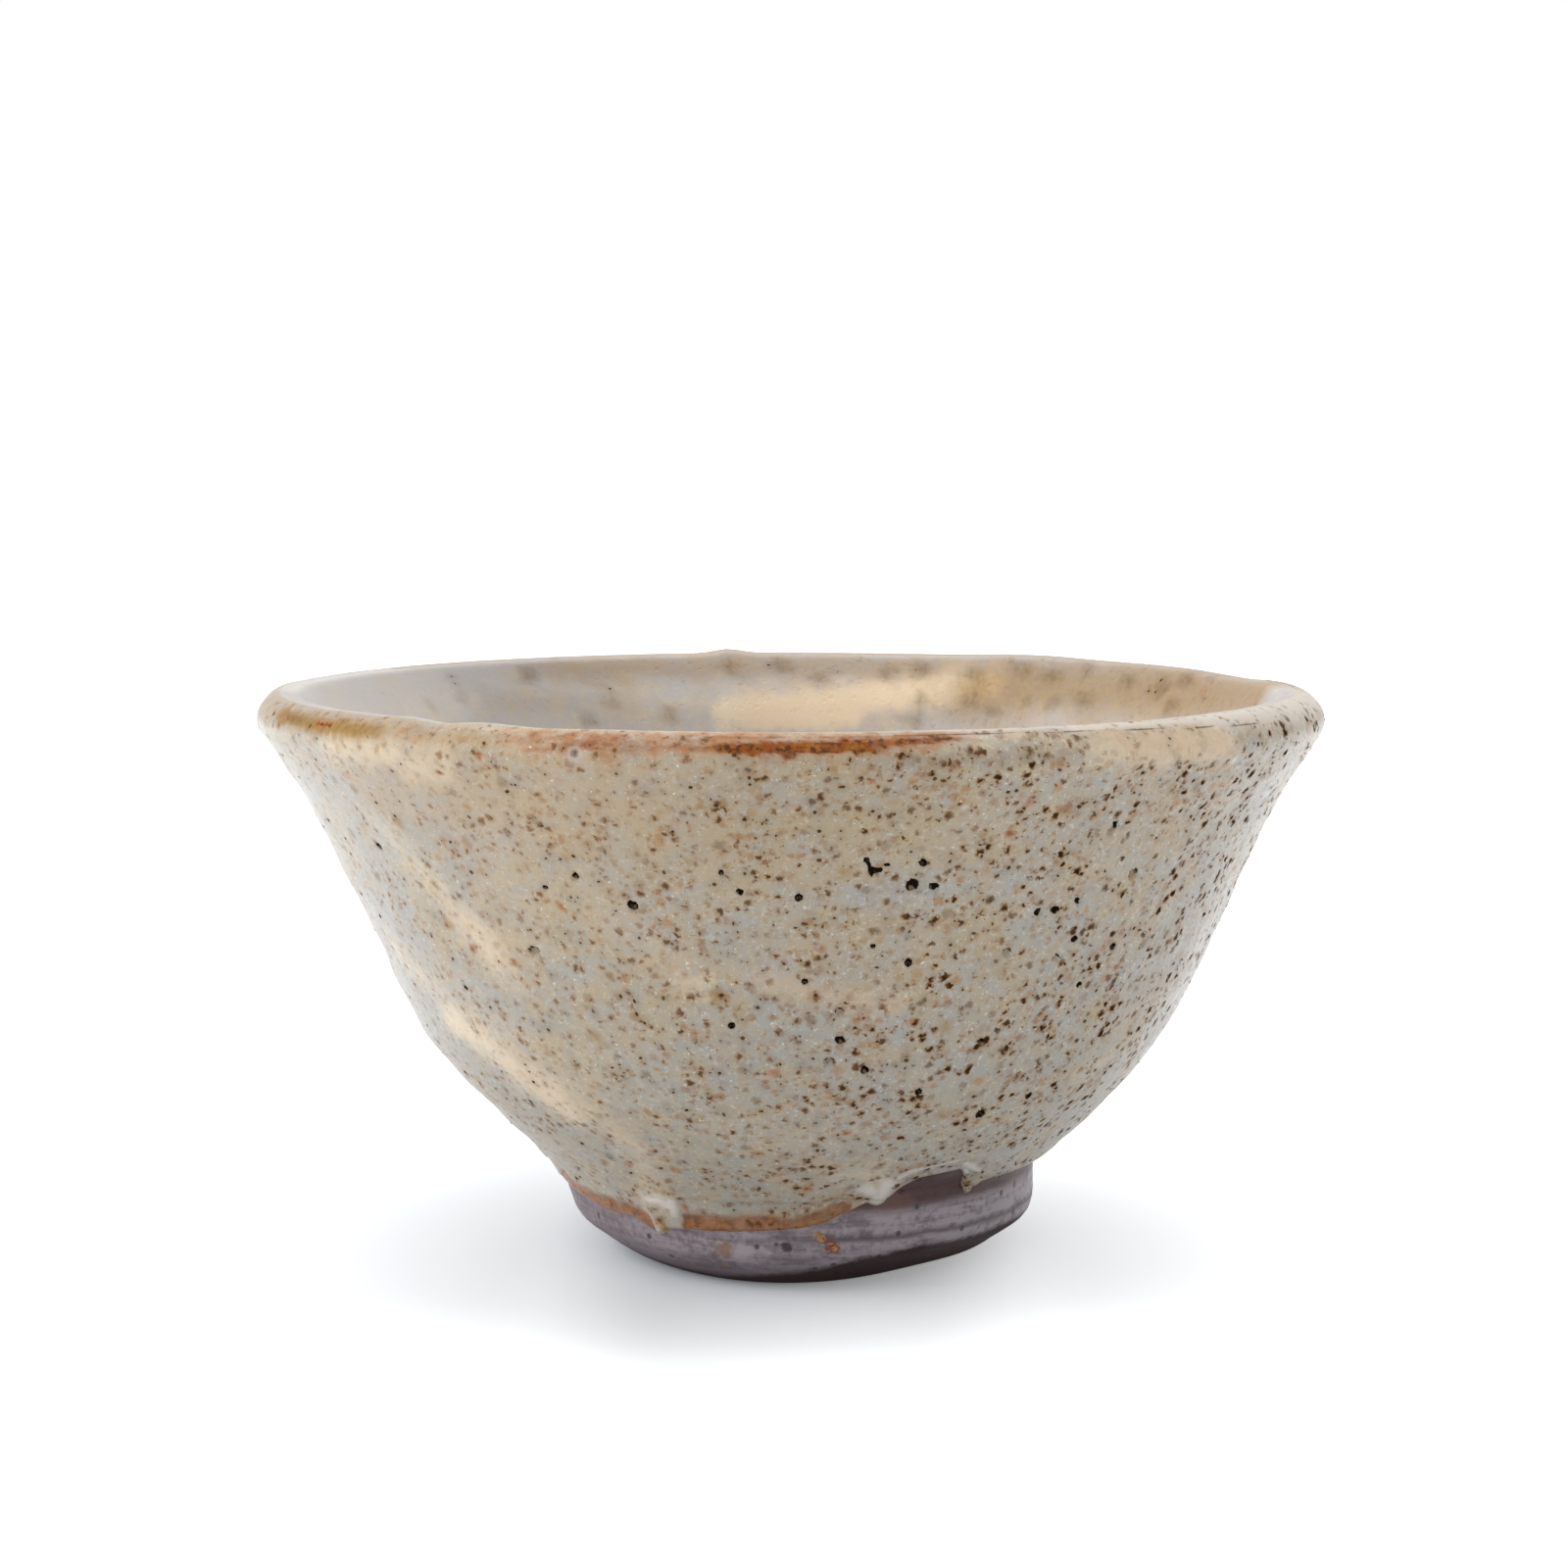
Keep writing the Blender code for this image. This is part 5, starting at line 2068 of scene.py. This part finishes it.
@dataclass(frozen=True)
class Studio:
    """A pale floor in soft light, with a white background."""

    floor_radius: float = 3.0
    floor_sides: int = 64
    ambient: float = 0.60
    floor_colour: Colour = (0.77, 0.81, 0.86, 1.0)
    contact_glow: float = 0.055
    right_glow: float = 0.27
    side_glow: float = 0.20
    front_glow: float = 0.6
    near_glow: float = 0.3
    far_glow: float = 0.6
    left_watts: float = 4.3
    right_watts: float = 0.25
    overhead_watts: float = 4.6
    window_size: float = 0.6
    overhead_size: float = 0.8
    left_place: Triple = (-0.75, -0.05, 0.40)
    right_place: Triple = (0.75, 0.05, 0.40)
    overhead_place: Triple = (0.0, 0.15, 0.90)
    aim: Triple = (0.0, 0.0, 0.02)

    def world(self) -> None:
        """White behind the cup and in its gloss, with a softer level for the light that falls on it."""
        world = bpy.data.worlds.new("studio_world")
        world.use_nodes = True
        bpy.context.scene.world = world
        graph = Graph(world.node_tree)
        rays = graph.add("ShaderNodeLightPath")
        seen = rays.out("Is Camera Ray").most(rays.out("Is Glossy Ray")).most(rays.out("Is Transmission Ray"))
        background = world.node_tree.nodes["Background"]
        background.inputs["Color"].default_value = WHITE
        graph.feed(background.inputs["Strength"], seen * (1 - self.ambient) + self.ambient)

    def floor(self) -> None:
        """A round pale floor that shows white and keeps the cup's shadow."""
        mesh = bpy.data.meshes.new("floor")
        turns = [math.tau * step / self.floor_sides for step in range(self.floor_sides)]
        rim = [(self.floor_radius * math.cos(t), self.floor_radius * math.sin(t), 0.0) for t in turns]
        mesh.from_pydata(rim, [], [tuple(range(self.floor_sides))])
        material = bpy.data.materials.new("pale_floor")
        material.use_nodes = True
        graph = Graph(material.node_tree)
        shader = material.node_tree.nodes["Principled BSDF"]
        even = {"Base Color": self.floor_colour, "Roughness": 0.9, "Specular IOR Level": 0.0,
                "Emission Strength": 1.0}
        for name, value in even.items():
            shader.inputs[name].default_value = value
        rays = graph.add("ShaderNodeLightPath")
        spot = graph.millimetres()
        place = graph.parts(spot)
        x, y = place.out("X"), place.out("Y")
        away = graph.add("ShaderNodeVectorMath", {"operation": "LENGTH"}, {0: spot}, "Value")
        aside = x.most(x * -1)
        # Painted light on the floor: a glow seen by the camera and in gloss, least by the foot and more to
        # the right, to the sides, in front and far off, which lightens the cup's shadow there.
        glow = self.contact_glow + x.smooth(-12, 16) * self.right_glow
        glow = glow + aside.smooth(8, 18) * self.side_glow + y.smooth(-16, -56) * self.front_glow
        glow = glow + away.smooth(26, 60) * self.near_glow + away.smooth(60, 400) * self.far_glow
        seen = rays.out("Is Camera Ray").most(rays.out("Is Glossy Ray")) * glow
        graph.feed(shader.inputs["Emission Color"], graph.mix(seen, BLACK, WHITE))
        mesh.materials.append(material)
        floor = linked("floor", mesh)

    def lamp(self, name: str, place: Triple, size: float, watts: float) -> None:
        """Hangs one square soft light that faces the cup.

        Args:
            name: What it is called.
            place: Where it hangs.
            size: Its width in metres.
            watts: Its power.
        """
        data = bpy.data.lights.new(name, "AREA")
        data.size = size
        data.energy = watts
        lamp = linked(name, data)
        lamp.location = place
        lamp.rotation_euler = (Vector(self.aim) - Vector(place)).to_track_quat("-Z", "Y").to_euler()

    def build(self) -> None:
        """Sets up the floor, the world and the lights."""
        bpy.context.scene.view_settings.view_transform = "Standard"
        self.world()
        self.floor()
        self.lamp("left_window", self.left_place, self.window_size, self.left_watts)
        self.lamp("right_window", self.right_place, self.window_size, self.right_watts)
        self.lamp("overhead", self.overhead_place, self.overhead_size, self.overhead_watts)


def ride(piece: Object, slot: str, *nodes: str) -> None:
    """Puts a piece on the cup's only body, hides the CAD nodes that it stands for, and logs its triangles.

    Args:
        piece: The finished piece.
        slot: Not used.
        nodes: CAD nodes, if any.
    """
    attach(piece, "root")
    if nodes:
        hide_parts(*nodes)
    triangles = sum(len(face.vertices) - 2 for face in piece.data.polygons)
    LOG.info("%s: %d triangles", piece.name, triangles)


def main() -> None:
    """Builds the cup's pieces in order, dresses them, and lights the scene."""
    logging.basicConfig(level=logging.INFO, format="%(name)s %(message)s")
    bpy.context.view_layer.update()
    form, view = CupForm(), PhotoView()
    ride(TurnedBody(form).build(foot_clay(form, view).material()), "clay", "clay_body")
    coat = GlazeCoat(form, view)
    slip = WhiteSlip().material()
    low = coat.edge_drops - coat.slip_above_edge
    deep = np.full_like(low, form.inner.named["middle"] - coat.slip_floor_gap)
    outer_slip = coat.slip_layer("outer_slip_layer", form.outer, low, OUTER_SWEEPS, slip)
    ride(outer_slip, "slip", "outer_slip")
    inner_slip = coat.slip_layer("inner_slip_layer", form.inner, deep, INNER_SWEEPS, slip)
    ride(inner_slip, "slip", "inner_slip")
    ride(coat.outside(AshGlaze("ash_glaze").material()), "glaze", "outer_glaze")
    liner = AshGlaze("liner_glaze", 0.08, 0.55, 3.4, 0.0, cool=ink(178, 175, 174), warm=ink(187, 173, 155))
    ride(coat.inside(liner.material()), "glaze", "inner_glaze")
    iron = Mineral("iron_speck", ink(70, 47, 24), ink(116, 80, 42), 0.5).material()
    quartz = Mineral("quartz_grain", ink(238, 231, 216), ink(216, 201, 176), 0.25, 0.5).material()
    crumb = Mineral("kiln_crumb", ink(196, 150, 110), ink(134, 80, 50), 0.6).material()
    bed = GrainBed()
    for name, grains in coat.specks.items():
        ride(bed.build(name, grains, quartz if name.startswith("quartz") else iron), "glaze")
    ride(GrainBed(flatness=0.5, spread=0.5).build("kiln_crumbs", crumbs(form, view), crumb), "clay")
    Studio().build()
    view.camera()


if __name__ == "__main__":
    main()
